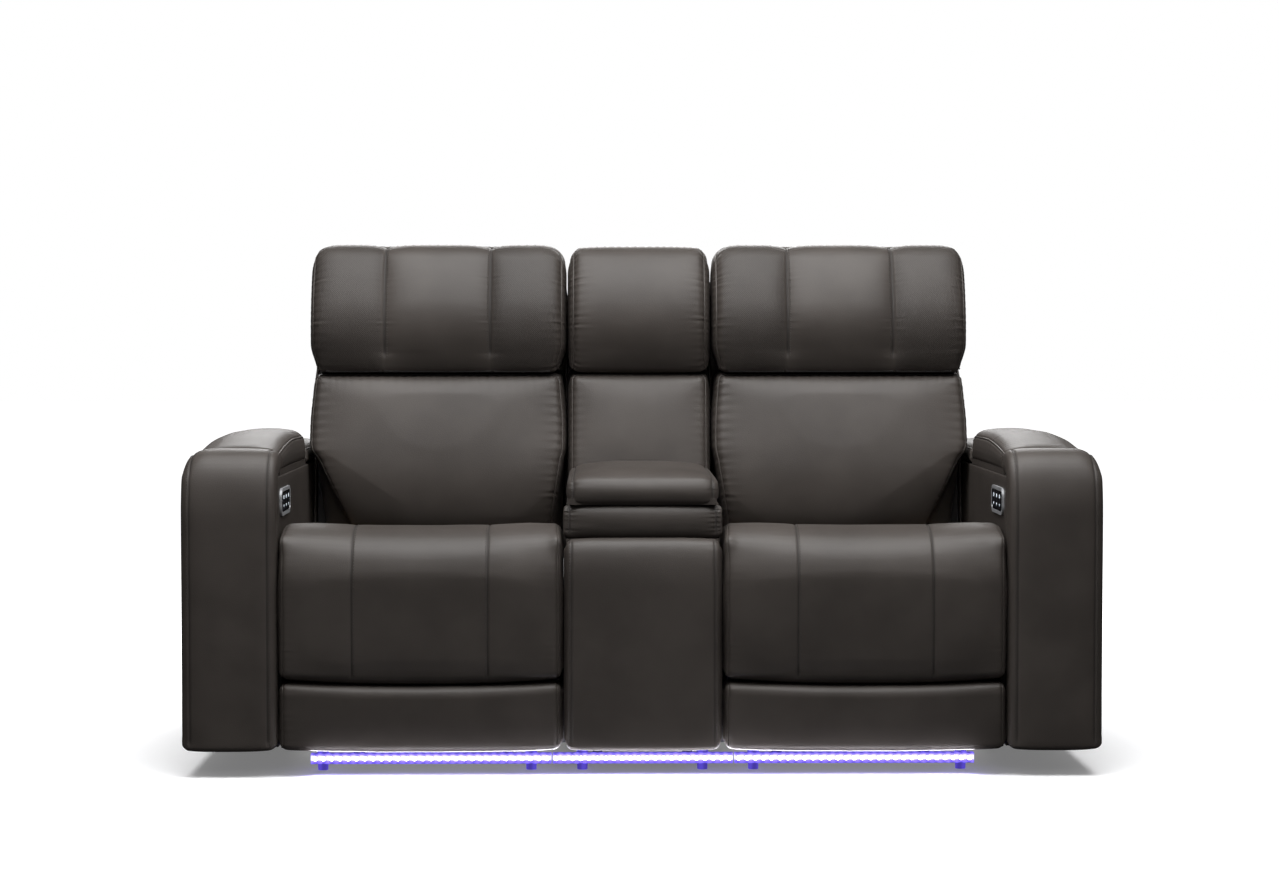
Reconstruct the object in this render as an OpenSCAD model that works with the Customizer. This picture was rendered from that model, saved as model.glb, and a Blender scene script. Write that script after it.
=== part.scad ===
// Two-seat powered reclining seat with a storage console between the seats.
// Millimetres, +Z up, +X to the viewer's right, +Y to the rear.
// The origin is on the floor, under the centre of the outer box.
// Depths are counted from the front plane of the arms, heights from the floor.

/* [Overall] */
// Width over both arms
overall_w = 1850; // [1700:1:2000]
// Depth from the arm fronts to the top of the rear shell
overall_d = 950; // [920:1:1000]
// Height of the headrest crown
overall_h = 1090; // [1070:1:1130]
// Free height under the arms and the base frame
floor_gap = 57; // [50:1:62]
// Room on each side of a moving seat
side_gap = 5; // [3:0.5:8]
// Gap between a soft piece and its seat
seat_gap = 0.3; // [0.2:0.05:0.5]
// Radial clearance of a pin in its bore
run_gap = 0.05; // [0.02:0.01:0.1]

/* [Arms] */
// Width of one arm
arm_w = 190; // [170:1:220]
// Depth of the arms
arm_d = 900; // [870:1:920]
// Height of the front roll
arm_h = 656; // [640:1:680]
// Thickness of the front strap
fascia_t = 45; // [35:1:50]
// Depth of the roll on top of the strap
roll_d = 105; // [95:1:120]
// Thickness of the front roll where it meets the storage lid
roll_t = 52; // [44:1:60]
// Depth at which the storage lid ends
lid_end_d = 562; // [500:1:600]
// Thickness of the lid board
lid_board_t = 12; // [9:1:15]
// Thickness of the crowned lid pad
lid_pad_t = 62; // [45:1:75]
// Thickness of the leather skin and its padding on the panels
skin_t = 6; // [4:1:8]
// Thickness of the box panels
panel_t = 15; // [12:1:18]
// Floor of the storage compartments
store_z = 350; // [300:1:400]
// Thickness of the fixed pad behind the arm lid
rear_pad_t = 40; // [30:1:60]

/* [Console] */
// Width of the console over its band
console_w = 320; // [300:1:360]
// Height of the front panel
console_front_h = 478; // [460:1:490]
// Depth at which the upper band stands back
band_d = 45; // [35:1:50]
// Thickness of the band pad
band_t = 26; // [20:1:35]
// Height of the upper band
band_h = 69; // [60:1:76]
// Thickness of the console lid pad
console_pad_t = 54; // [45:1:60]
// Depth at which the console lid starts
console_lid_d = 40; // [30:1:45]
// Room between the console lid's hinge and the lower front edge of the back
lid_back_gap = 50; // [46:1:80]

/* [Seats] */
// Height of the front roll of a seat
seat_h = 498; // [485:1:510]
// Height of the seat at its rear
seat_rear_h = 458; // [450:1:470]
// Room between a seat cushion and the back cushion
seat_back_gap = 10; // [8:1:20]
// Depth of the roll at a seat's front
seat_roll_d = 95; // [90:1:110]
// Underside of a seat cushion
seat_z = 400; // [390:1:405]
// Distance of the two sewn channels from the middle of a seat
channel_x = 136; // [110:1:150]
// Depth of a sewn channel
channel_dip = 9; // [4:1:12]
// Width and height of a seat rail's tube
rail_w = 16; // [14:1:20]
rail_h = 50; // [40:1:50]
// Thickness of a spring wire
wire_t = 4; // [3:0.5:5]

/* [Footrest] */
// Thickness of the footrest pad
pad_t = 70; // [60:1:74]
// Lower edge of the footrest pad
pad_z = 187; // [170:1:200]
// Lower edge of the flap
flap_z = 56; // [54:1:62]
// Gap between soft pieces that part or butt
crease = 4; // [2:0.5:6]
// Thickness of the footrest board
board_t = 10; // [9:1:12]
// Lower edge of the footrest board
board_z = 112; // [108:1:130]
// Depth of the footrest's turning point, in front of the seat
pole_d = -25; // [-30:1:-20]
// Height of the footrest's turning point
pole_z = 475; // [470:1:480]
// Depth and height of the long link's pivot
link_d = 170; // [165:1:180]
link_z = 330; // [328:1:334]
// Depth and height of the bracket pivot behind the footrest
bracket_d = 104; // [102:1:108]
bracket_z = 296; // [292:1:300]
// Width and thickness of a link
link_w = 24; // [20:1:26]
link_t = 6; // [4:1:6]
// Radius of a link pin
pin_r = 5; // [4:0.5:6]
// Radius of the torque tube
tube_r = 10; // [8:0.5:11]

/* [Back] */
// Distance of the recline hinge behind the lower front edge of the back, and its height
hinge_in = 100; // [96:1:110]
hinge_z = 330; // [325:1:332]
// Lower edge of the back cushions
back_z = 445; // [440:1:460]
// How far the front of the back cushions leans up to the headrest
back_lean = 58; // [50:1:66]
// Depth of a back from its cushion's front at the headrest to the top of the rear shell
back_room = 352; // [345:1:365]
// Height of a headrest over the crease below it
head_h = 280; // [270:1:290]
// Thickness of the back cushions
back_t = 138; // [120:1:150]
// Thickness of the back board
back_board_t = 18; // [15:1:20]
// Height of the headrest crown over the rear shell
shell_drop = 50; // [40:1:65]
// Lower edge of the rear shell
shell_z = 370; // [365:1:400]
// How far the rear shell leans
shell_lean = 136; // [120:1:150]
// Distance of the two headrest seams from the middle
head_seam_x = 117; // [100:1:140]
// Depth of a headrest seam
head_dip = 10; // [4:1:14]
// Radius of the headrest hinge barrel
barrel_r = 4; // [3:0.5:4]

/* [Base] */
// Height of the base tubes
beam_h = 30; // [25:1:32]
// Width of the base tubes
beam_w = 30; // [25:1:30]
// Depth of the front base beam
front_beam_d = 100; // [98:1:110]
// Distance from the rear base beam's front to the rear shell's lower edge
rear_beam_in = 74; // [60:1:110]
// Radius of a foot
foot_r = 13; // [12:0.5:18]
// Height of the runner's top
runner_z = 290; // [280:1:295]
// Height of the runner bar
runner_h = 20; // [16:1:24]

/* [Lights and controls] */
// Height of the light strip's lower edge
strip_z = 25; // [20:1:26]
// Height of the light strip
strip_h = 20; // [16:1:20]
// Thickness of the light strip
strip_t = 20; // [16:1:20]
// Depth of the light strip
strip_d = 30; // [28:1:34]
// Radius of a light bead
bead_r = 4.5; // [3:0.5:5]
// Pitch of the light beads
bead_pitch = 16.7; // [14:0.1:20]
// Length and height of a switch bezel
switch_l = 150; // [140:1:160]
switch_h = 56; // [52:1:60]
// Distance of the switch bezels' middle below the storage lid
switch_drop = 54; // [46:1:60]
// Depth of the switch bezels' front end
switch_d = 75; // [70:1:90]
// Thickness of the bezels
switch_t = 4.5; // [4:0.1:4.6]
// Length and height of a rocker
rocker_l = 34; // [30:1:36]
rocker_h = 34; // [30:1:36]
// Radius of the power inlet's bore
inlet_r = 2.8; // [2.5:0.05:3.2]
// Length of the power inlet's bore
inlet_l = 10; // [8:0.5:12]

/* [Hidden] */
left = -1;
right = 1;
sides = [left, right];
round_fn = 32;
bead_fn = 16;
// One overrun serves every cut
cut = 2;
front = -overall_d / 2;

// The back's depths and heights follow from the outer box
back_top_d = overall_d - back_room;
back_d = back_top_d - back_lean;
shell_d = overall_d - shell_lean;
crease_z = overall_h - head_h;
shell_h = overall_h - shell_drop;
hinge_d = back_d + hinge_in;
seat_d = back_d - seat_back_gap;
rear_beam_d = shell_d - rear_beam_in;

// The arms' and the console's heights
lid_z = arm_h - roll_t;
switch_z = lid_z - switch_drop;
console_lid_z = console_front_h + band_h;
console_hinge_d = back_d - lid_back_gap;

// Widths that follow from the row of arms, seats and console
arm_x = overall_w / 2 - arm_w / 2;
arm_inner_x = overall_w / 2 - arm_w;
seat_w = arm_inner_x - console_w / 2 - 2 * side_gap;
seat_x = arm_inner_x - side_gap - seat_w / 2;
console_pad_w = console_w - 2 * side_gap;
box_w = arm_w - 2 * skin_t;
box_rear_d = arm_d - skin_t;
console_box_w = console_pad_w - 2 * seat_gap;

// Heights of the base
beam_z = floor_gap;
beam_top = beam_z + beam_h;
rear_beam_end = rear_beam_d + beam_w;
runner_in = 22.5;
runner_x = seat_w / 2 - runner_in;
rail_end_in = 40;
rail_end_d = hinge_d - rail_end_in;
channel_wall = 4.5;
channel_gap = 0.5;
channel_front = 20;
channel_room = 100;
channel_d0 = link_d - channel_front;
channel_l = rail_end_d - channel_room - channel_d0;
post_t = 20;

// Seat frame
rail_z = seat_z - seat_gap - wire_t - rail_h;
rail_in = 24.5;
rail_x = seat_w / 2 - rail_in;
rail_front = 10;
rail_d0 = front_beam_d + rail_front;
plate_t = 6;
hinge_pin_r = 8;
hinge_boss_r = 18;
pivot_in = 31;
pivot_plate_x = runner_x - pivot_in;
link_gap = 6;
links_apart = 2;
link_x = pivot_plate_x - plate_t / 2 - link_t - link_gap;
inner_link_x = link_x - link_t - links_apart;
spring_count = 4;
spring_wave = 22;
spring_turns = 8;
spring_steps = 40;

// The links of the footrest are a parallelogram with the turning point as one corner
knee_d = link_d + bracket_d - pole_d;
knee_z = link_z + bracket_z - pole_z;

// Slopes of the back, and where its layers lie at a height
back_slope = (back_top_d - back_d) / (crease_z - back_z);
function front_at(z) = back_d + (z - back_z) * back_slope;
function board_at(z) = front_at(z) + back_t + seat_gap;
shell_slope = (overall_d - shell_d) / (shell_h - shell_z);
function shell_at(z) = shell_d + (z - shell_z) * shell_slope;
cushion_top = crease_z - barrel_r - seat_gap;
head_z = crease_z + barrel_r + seat_gap;
shelf_t = 2;
barrel_in = 6;
barrel_d = back_top_d + barrel_in;
// Depths and heights of the headrest pillow's bends
head_out = 20;
head_rear_step = 20;
head_front_d = back_top_d - head_out;
head_rear_d = board_at(crease_z) + head_rear_step;
head_board_t = 12;
function head_back(z) = head_rear_d + seat_gap + (z - head_z) * back_slope;
head_board_drop = 12;
head_board_top = shell_h - head_board_drop;
head_lip_in = 12;
head_brow_in = 4;
head_top_front_in = 46;
head_top_rear_in = 30;
head_full_share = 0.34;
head_brow_share = 0.74;

// Switch
bezel_round_share = 0.35;
bezel_r = switch_h * bezel_round_share;
bezel_rim = 7;
plate_step = 0.5;
plate_face = switch_t - plate_step;
pocket_gap = 0.5;
pocket_floor = 0.8;
ridge_r = 1.2;
rocker_lift = 0.6;
rocker_axis = pocket_floor + seat_gap + ridge_r;
rocker_back = rocker_axis + rocker_lift;
rocker_face = switch_t;
rocker_gap = 5;
rocker_pitch = rocker_l + rocker_gap;

// Feet stand under the beams: two by the console and two under each seat
console_foot_in = 37;
inner_foot_in = 40;
outer_foot_in = 54;
feet_x = [
    console_w / 2 - console_foot_in, seat_x - runner_x + inner_foot_in, seat_x + runner_x - outer_foot_in
];
foot_taper_share = 0.8;

// Colours
leather = [0.20, 0.185, 0.175];
wood = [0.72, 0.58, 0.42];
steel = [0.32, 0.33, 0.35];
chrome = [0.78, 0.78, 0.8];
plastic = [0.08, 0.08, 0.09];
lamp = [0.9, 0.9, 1];

// Building blocks

// Block of width w about x, from depth d0 and height z0
module block(w, d, h, x, d0, z0) {
    translate([x - w / 2, front + d0, z0]) cube([w, d, h]);
}

// Plate of thickness t about x, with a side outline of [depth, height] points
module plate(outline, t, x) {
    translate([x - t / 2, front, 0])
        rotate([90, 0, 90])
            linear_extrude(t)
                polygon(outline);
}

// Round bar along X about x
module bar(r, l, x, d, z) {
    translate([x, front + d, z])
        rotate([0, 90, 0])
            cylinder(r = r, h = l, center = true, $fn = round_fn);
}

// Link of width link_w from one [depth, height] point to another, with round ends
module link(a, b, t, x) {
    run = b - a;
    bar(link_w / 2, t, x, a[0], a[1]);
    bar(link_w / 2, t, x, b[0], b[1]);
    side = [-run[1], run[0]] / norm(run) * link_w / 2;
    plate([a + side, a - side, b - side, b + side], t, x);
}

module on_side(s) {
    if (s < 0) mirror([1, 0, 0]) children();
    else children();
}

module at_seat(s) {
    translate([s * seat_x, 0, 0]) children();
}

// Soft forms: a side outline is carried across the width, drawn in at both ends

function unit(v) = v / norm(v);

// Outline with each corner rounded by a parabola, corners counterclockwise seen from +X
function soft_outline(corners, radii, steps = 3) = [
    for (i = [0:len(corners) - 1])
        let (
            n = len(corners),
            c = corners[i],
            a = c + unit(corners[(i + n - 1) % n] - c) * radii[i],
            b = c + unit(corners[(i + 1) % n] - c) * radii[i]
        )
        for (k = [0:steps])
            let (t = k / steps)
            (1 - t) * (1 - t) * a + 2 * t * (1 - t) * c + t * t * b
];

// Direction out of the edge that starts at corner i
function edge_out(corners, i) =
    let (n = len(corners), e = corners[(i + 1) % n] - corners[i % n])
    unit([e[1], -e[0]]);

// Corners drawn in by w. An edge that faces the rest direction lies on its support and stays
flat_share = 0.8;
function drawn(corners, rest, w) = [
    for (i = [0:len(corners) - 1])
        let (
            a = edge_out(corners, i + len(corners) - 1),
            b = edge_out(corners, i),
            wa = a * rest > flat_share ? 0 : w,
            wb = b * rest > flat_share ? 0 : w
        )
        corners[i] + [wb * a[1] - wa * b[1], wa * b[0] - wb * a[0]] / (a[0] * b[1] - a[1] * b[0])
];
least_r = 2;
function drawn_radii(radii, w) = [for (r = radii) w > 0 ? max(r - w, min(r, least_r)) : r];

// Places across the width: a quarter round at each end, three at each channel, one in the middle
edge_angles = [90, 60, 28, 0];
channel_half = 14;
mid_share = 0.45;
function half_places(half, edge, seams) = concat(
    [for (a = edge_angles) half - edge + edge * sin(a)],
    len(seams) == 0
        ? [half * mid_share]
        : [for (s = seams) each [s + channel_half, s, s - channel_half]]
);
function places(half, edge, seams) =
    let (h = half_places(half, edge, seams))
    concat([for (x = h) -x], [0], [for (i = [len(h) - 1:-1:0]) h[i]]);

function draw_in(x, half, edge) =
    let (o = abs(x) - (half - edge))
    o > 0 ? edge - sqrt(max(0, edge * edge - o * o)) : 0;

function seam_dip(x, seams, dip) =
    len([for (s = seams) if (abs(abs(x) - s) < channel_half / 2) s]) > 0 ? dip : 0;

module pillow(corners, radii, half, edge, crown, rest, seams = [], dip = 0, hub = undef, steps = 3) {
    xs = places(half, edge, seams);
    m = len(xs);
    n = len(corners) * (steps + 1);
    rings = [
        for (x = xs)
            let (w = draw_in(x, half, edge) + seam_dip(x, seams, dip) + crown * pow(x / half, 2))
            soft_outline(drawn(corners, rest, w), drawn_radii(radii, w), steps)
    ];
    eye = is_undef(hub) ? [for (k = [0:1]) [for (p = rings[0]) p[k]] * [for (p = rings[0]) 1] / n] : hub;
    points = concat(
        [for (j = [0:m - 1]) for (p = rings[j]) [xs[j], front + p[0], p[1]]],
        [for (x = [xs[0], xs[m - 1]]) [x, front + eye[0], eye[1]]]
    );
    skin = [
        for (j = [0:m - 2])
            for (i = [0:n - 1])
                let (a = j * n + i, b = j * n + (i + 1) % n)
                each [[a, b, a + n], [b, b + n, a + n]]
    ];
    ends = [
        for (i = [0:n - 1])
            let (k = (i + 1) % n)
            each [[m * n, k, i], [m * n + 1, (m - 1) * n + i, (m - 1) * n + k]]
    ];
    polyhedron(points, [for (f = concat(skin, ends)) [f[2], f[1], f[0]]], convexity = 4);
}

// Base

foot_rows = [front_beam_d, rear_beam_d];
runner_over = 10;
runner_d0 = channel_d0 - runner_over;
runner_end = channel_d0 + channel_l + 2 * runner_over;
post_ds = [runner_d0 + post_t, runner_end - 2 * post_t];
strip_arm_h = 6;
strip_arm_w = 20;

module base_frame() {
    color(steel) {
        for (d = foot_rows) block(2 * arm_inner_x, beam_w, beam_h, 0, d, beam_z);
        for (s = sides)
            at_seat(s)
                for (x = [-runner_x, runner_x]) {
                    block(
                        beam_w, rear_beam_d - front_beam_d - beam_w, beam_h,
                        x, front_beam_d + beam_w, beam_z
                    );
                    for (d = post_ds) block(post_t, post_t, runner_z - runner_h - beam_top, x, d, beam_top);
                    block(beam_w, runner_end - runner_d0, runner_h, x, runner_d0, runner_z - runner_h);
                }
        for (x = strip_arm_xs) {
            block(
                strip_arm_w, front_beam_d + beam_w - strip_d - strip_t, strip_arm_h,
                x, strip_d + strip_t, strip_z
            );
            block(
                strip_arm_w, beam_w, beam_z - strip_z - strip_arm_h,
                x, front_beam_d, strip_z + strip_arm_h
            );
        }
    }
}

module feet() {
    color(plastic)
        for (d = foot_rows)
            for (s = sides)
                for (x = feet_x)
                    translate([s * x, front + d + beam_w / 2, 0])
                        cylinder(r1 = foot_r * foot_taper_share, r2 = foot_r, h = floor_gap, $fn = round_fn);
}

// Arms, drawn for the right side

store_d0 = roll_d + panel_t;
store_l = lid_end_d - store_d0 - panel_t;
box_top = lid_z - seat_gap;

module arm_box(s) {
    color(wood)
        on_side(s)
            difference() {
                block(box_w, box_rear_d - fascia_t, box_top - floor_gap, arm_x, fascia_t, floor_gap);
                block(
                    box_w - 2 * panel_t, store_l, box_top - store_z + cut,
                    arm_x, store_d0, store_z
                );
                block(
                    box_w - 2 * panel_t, box_rear_d - fascia_t - 2 * panel_t,
                    store_z - panel_t - floor_gap + cut,
                    arm_x, fascia_t + panel_t, floor_gap - cut
                );
                block(
                    box_w - 2 * panel_t, box_rear_d - panel_t - lid_end_d,
                    box_top - store_z + cut,
                    arm_x, lid_end_d, store_z - panel_t - cut
                );
            }
}

fascia_edge = 18;
fascia_hub_share = 0.75;
fascia_crown = 3;
function fascia_corners() = [
    [0, floor_gap], [fascia_t, floor_gap], [fascia_t, lid_z],
    [roll_d, lid_z], [roll_d, arm_h], [0, arm_h]
];
fascia_radii = [8, 1, 1, 6, 26, 54];

module arm_fascia(s) {
    color(leather)
        translate([s * arm_x, 0, 0])
            pillow(
                fascia_corners(), fascia_radii, arm_w / 2, fascia_edge, fascia_crown, [1, 0],
                hub = [fascia_t * fascia_hub_share, (lid_z + arm_h) / 2], steps = 2
            );
}

rear_pad_edge = 16;
rear_pad_crown = 10;
rear_pad_radii = [2, 2, rear_pad_edge, rear_pad_edge];
module arm_cover(s) {
    color(leather)
        on_side(s) {
            difference() {
                block(arm_w, arm_d - fascia_t, box_top - floor_gap, arm_x, fascia_t, floor_gap);
                block(
                    box_w, box_rear_d - fascia_t + cut, box_top - floor_gap + 2 * cut,
                    arm_x, fascia_t - cut, floor_gap - cut
                );
            }
            translate([arm_x, 0, 0])
                pillow(
                    [
                        [lid_end_d + side_gap, box_top], [arm_d, box_top],
                        [arm_d, box_top + rear_pad_t], [lid_end_d + side_gap, box_top + rear_pad_t]
                    ],
                    rear_pad_radii,
                    arm_w / 2, rear_pad_edge, rear_pad_crown, [0, -1], steps = 2
                );
        }
}

lid_d0 = roll_d + crease / 2;
lid_inset = 3;
arm_pad_z = lid_z + lid_board_t + seat_gap;
arm_hinge_x = overall_w / 2 - lid_inset;

module arm_lid_board(s) {
    color(wood)
        on_side(s)
            block(
                arm_w - 4 * lid_inset, lid_end_d - lid_d0, lid_board_t,
                arm_x - lid_inset, lid_d0, lid_z
            );
}

arm_pad_edge = 24;
arm_pad_crown = 14;
lid_rear_share = 0.6;
lid_front_share = 0.45;
module arm_lid_pad(s) {
    color(leather)
        translate([s * arm_x, 0, 0])
            pillow(
                [
                    [lid_d0, arm_pad_z], [lid_end_d, arm_pad_z],
                    [lid_end_d, arm_pad_z + lid_pad_t], [lid_d0, arm_pad_z + lid_pad_t]
                ],
                [crease, crease, lid_pad_t * lid_rear_share, lid_pad_t * lid_front_share],
                arm_w / 2 - lid_inset, arm_pad_edge, arm_pad_crown, [0, -1]
            );
}

// Console

console_rear_d = console_hinge_d + 2 * panel_t;
console_box_d0 = band_d + band_t + seat_gap;
console_box_top = console_lid_z - seat_gap;
front_wall_t = console_box_d0 - fascia_t + panel_t;

module console_box() {
    color(wood)
        difference() {
            union() {
                block(
                    console_box_w, console_rear_d - console_box_d0, console_box_top - beam_top,
                    0, console_box_d0, beam_top
                );
                block(
                    console_box_w, console_box_d0 - fascia_t, console_front_h - seat_gap - beam_top,
                    0, fascia_t, beam_top
                );
            }
            block(
                console_box_w - 2 * panel_t, console_hinge_d - fascia_t - front_wall_t,
                console_box_top - store_z + cut,
                0, fascia_t + front_wall_t, store_z
            );
            block(
                console_box_w - 2 * panel_t, console_rear_d - fascia_t - 2 * panel_t,
                store_z - panel_t - beam_top + cut,
                0, fascia_t + panel_t, beam_top - cut
            );
        }
}

front_pad_edge = 20;
front_pad_crown = 3;
front_round_share = 0.75;
front_pad_radii = [8, 1, 1, fascia_t * front_round_share];
module console_front_pad() {
    color(leather)
        pillow(
            [
                [0, floor_gap], [fascia_t - seat_gap, floor_gap],
                [fascia_t - seat_gap, console_front_h], [0, console_front_h]
            ],
            front_pad_radii,
            console_pad_w / 2, front_pad_edge, front_pad_crown, [1, 0]
        );
}

band_edge = 12;
band_radii = [8, 1, 1, 8];
module console_band_pad() {
    color(leather)
        pillow(
            [
                [band_d, console_front_h + seat_gap], [band_d + band_t, console_front_h + seat_gap],
                [band_d + band_t, console_box_top], [band_d, console_box_top]
            ],
            band_radii,
            console_w / 2, band_edge, 0, [1, 0], steps = 1
        );
}

console_pad_z = console_lid_z + lid_board_t + seat_gap;
module console_lid_board() {
    color(wood)
        block(
            console_box_w - 4 * lid_inset, console_hinge_d - console_lid_d - 2 * lid_inset, lid_board_t,
            0, console_lid_d + lid_inset, console_lid_z
        );
}

console_lid_edge = 18;
console_lid_crown = 6;
module console_lid_pad() {
    color(leather)
        pillow(
            [
                [console_lid_d, console_pad_z], [console_hinge_d, console_pad_z],
                [console_hinge_d, console_pad_z + console_pad_t],
                [console_lid_d, console_pad_z + console_pad_t]
            ],
            [crease, crease, console_pad_t * lid_rear_share, console_pad_t * lid_front_share],
            console_pad_w / 2 - lid_inset / 2, console_lid_edge, console_lid_crown, [0, -1]
        );
}

lid_pin_r = 1.8;
module lid_hinges() {
    color(steel) {
        for (s = sides)
            translate([s * arm_hinge_x, front + lid_d0, lid_z + lid_pin_r])
                rotate([-90, 0, 0])
                    cylinder(r = lid_pin_r, h = lid_end_d - lid_d0, $fn = bead_fn);
        bar(lid_pin_r, console_box_w - 4 * lid_inset, 0, console_hinge_d, console_lid_z + lid_pin_r);
        for (s = sides)
            block(
                skin_t - lid_inset, lid_end_d - lid_d0, seat_gap + lid_pin_r,
                s * (overall_w / 2 - skin_t / 2 - lid_inset / 2), lid_d0, box_top
            );
        block(
            console_box_w - 4 * lid_inset, panel_t, seat_gap + lid_pin_r,
            0, console_hinge_d, console_box_top
        );
    }
}

// Centre back, fixed to the base

centre_w = console_w - 2 * side_gap;
function back_corners(top) = [
    [front_at(back_z), back_z], [board_at(back_z) - seat_gap, back_z],
    [board_at(top) - seat_gap, top], [front_at(top), top]
];
back_radii = [34, 12, 12, 40];
back_edge = 24;
back_crown = 8;

module centre_back_frame() {
    foot_d = console_rear_d + panel_t;
    top = shell_h - panel_t;
    wall = [
        [foot_d, beam_top], [rear_beam_end, beam_top], [shell_at(shell_z), shell_z],
        [overall_d, shell_h], [board_at(shell_h), shell_h], [board_at(back_z), back_z], [foot_d, back_z]
    ];
    // The hollow is open below and, under the board, to the front
    hollow = [
        [foot_d - cut, beam_top - cut], [rear_beam_end - skin_t, beam_top - cut],
        [shell_at(shell_z) - skin_t, shell_z], [shell_at(top) - skin_t, top],
        [board_at(top) + back_board_t, top], [board_at(back_z) + back_board_t, back_z],
        [board_at(back_z), back_z], [board_at(back_z) - cut, back_z + cut], [foot_d - cut, back_z + cut]
    ];
    color(wood)
        difference() {
            plate(wall, centre_w, 0);
            plate(hollow, centre_w - 2 * panel_t, 0);
        }
}

module centre_back_cushion() {
    color(leather)
        pillow(back_corners(cushion_top), back_radii, centre_w / 2, back_edge, back_crown, [1, 0]);
}

function head_corners(rear_d, low) = [
    [head_front_d + head_lip_in, low], [rear_d, low], [rear_d + (head_board_top - low) * back_slope, head_board_top],
    [rear_d - head_top_rear_in, overall_h],
    [head_front_d + head_top_front_in, overall_h],
    [head_front_d + head_brow_in, low + (overall_h - low) * head_brow_share],
    [head_front_d, low + (overall_h - low) * head_full_share]
];
head_radii = [16, 8, 40, 24, 36, 30, 30];
head_edge = 34;
head_crown = 4;

module centre_head_cushion() {
    color(leather)
        pillow(
            head_corners(board_at(crease_z) - seat_gap, cushion_top + crease), head_radii,
            centre_w / 2, head_edge, head_crown, [1, 0], steps = 2
        );
}

// Lights, switches and the power inlet

strip_gap = 3;
strip_out = 16;
strip_arm_in = 90;
strip_past = 25;
strip_split = console_w / 2 + strip_past;
strip_end = feet_x[2] + strip_out;
strips = [
    [-strip_end, -strip_split],
    [strip_gap - strip_split, strip_split - strip_gap],
    [strip_split, strip_end]
];
strip_arm_xs = [for (s = strips) each [s[0] + strip_arm_in, s[1] - strip_arm_in]];
strip_wall = 2;
bead_depth = 3;

module light_channels() {
    color(plastic)
        for (s = strips)
            difference() {
                block(s[1] - s[0], strip_t, strip_h, (s[0] + s[1]) / 2, strip_d, strip_z);
                block(
                    s[1] - s[0] - 2 * strip_wall, bead_depth + cut, strip_h - 2 * strip_wall,
                    (s[0] + s[1]) / 2, strip_d - cut, strip_z + strip_wall
                );
            }
}

module light_beads() {
    color(lamp)
        for (s = strips)
            let (n = floor((s[1] - s[0] - 2 * bead_r) / bead_pitch))
            for (i = [0:n])
                translate([
                    (s[0] + s[1]) / 2 + (i - n / 2) * bead_pitch,
                    front + strip_d, strip_z + strip_h / 2
                ])
                    rotate([-90, 0, 0])
                        cylinder(r = bead_r, h = bead_depth, $fn = 8);
}

inlet_w = 34;
inlet_h = 24;
inlet_wall = 4;
inlet_t = inlet_l + inlet_wall;
inlet_z = 150;
function rear_at(z) = rear_beam_end + (z - beam_top) * (shell_d - rear_beam_end) / (shell_z - beam_top);

module power_inlet() {
    low = inlet_z - inlet_h / 2;
    high = inlet_z + inlet_h / 2;
    color(plastic)
        difference() {
            plate(
                [
                    [rear_at(low), low], [rear_at(high) + inlet_t, low],
                    [rear_at(high) + inlet_t, high], [rear_at(high), high]
                ],
                inlet_w, 0
            );
            translate([0, front + rear_at(high) + inlet_t - inlet_l, inlet_z])
                rotate([-90, 0, 0])
                    cylinder(r = inlet_r, h = inlet_l + cut, $fn = round_fn);
        }
}

// Rounded slab that stands on the plane x = 0 towards -X, for the right arm
module bezel_shape(l, h, r, t) {
    translate([-t, front + switch_d + switch_l / 2, switch_z])
        rotate([0, 90, 0])
            linear_extrude(t)
                union() {
                    square([h, l - 2 * r], center = true);
                    square([h - 2 * r, l], center = true);
                    for (a = [-1, 1])
                        for (b = [-1, 1])
                            translate([a * (h / 2 - r), b * (l / 2 - r)])
                                circle(r = r, $fn = round_fn);
                }
}

module switch_bezels() {
    color(chrome)
        for (s = sides)
            on_side(s)
                translate([arm_inner_x, 0, 0])
                    difference() {
                        bezel_shape(switch_l, switch_h, bezel_r, switch_t);
                        translate([cut, 0, 0])
                            bezel_shape(
                                switch_l - 2 * bezel_rim, switch_h - 2 * bezel_rim,
                                bezel_r - bezel_rim, switch_t + 2 * cut
                            );
                    }
}

function rocker_at(i) = switch_d + switch_l / 2 + (i - 1) * rocker_pitch;

module switch_plates() {
    color(plastic)
        for (s = sides)
            on_side(s)
                translate([arm_inner_x, 0, 0])
                    difference() {
                        bezel_shape(
                            switch_l - 2 * bezel_rim, switch_h - 2 * bezel_rim,
                            bezel_r - bezel_rim, plate_face
                        );
                        for (i = [0:2])
                            block(
                                plate_face - pocket_floor + cut, rocker_l + 2 * pocket_gap,
                                rocker_h + 2 * pocket_gap,
                                -(pocket_floor + plate_face + cut) / 2, rocker_at(i) - rocker_l / 2 - pocket_gap,
                                switch_z - rocker_h / 2 - pocket_gap
                            );
                    }
}

module rocker(s, i) {
    color(plastic)
        on_side(s)
            translate([arm_inner_x, 0, 0]) {
                block(
                    rocker_face - rocker_back, rocker_l, rocker_h,
                    -(rocker_back + rocker_face) / 2, rocker_at(i) - rocker_l / 2, switch_z - rocker_h / 2
                );
                translate([-rocker_axis, front + rocker_at(i) - rocker_l / 2, switch_z])
                    rotate([-90, 0, 0])
                        cylinder(r = ridge_r, h = rocker_l, $fn = bead_fn);
            }
}

// Seat mechanism

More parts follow.
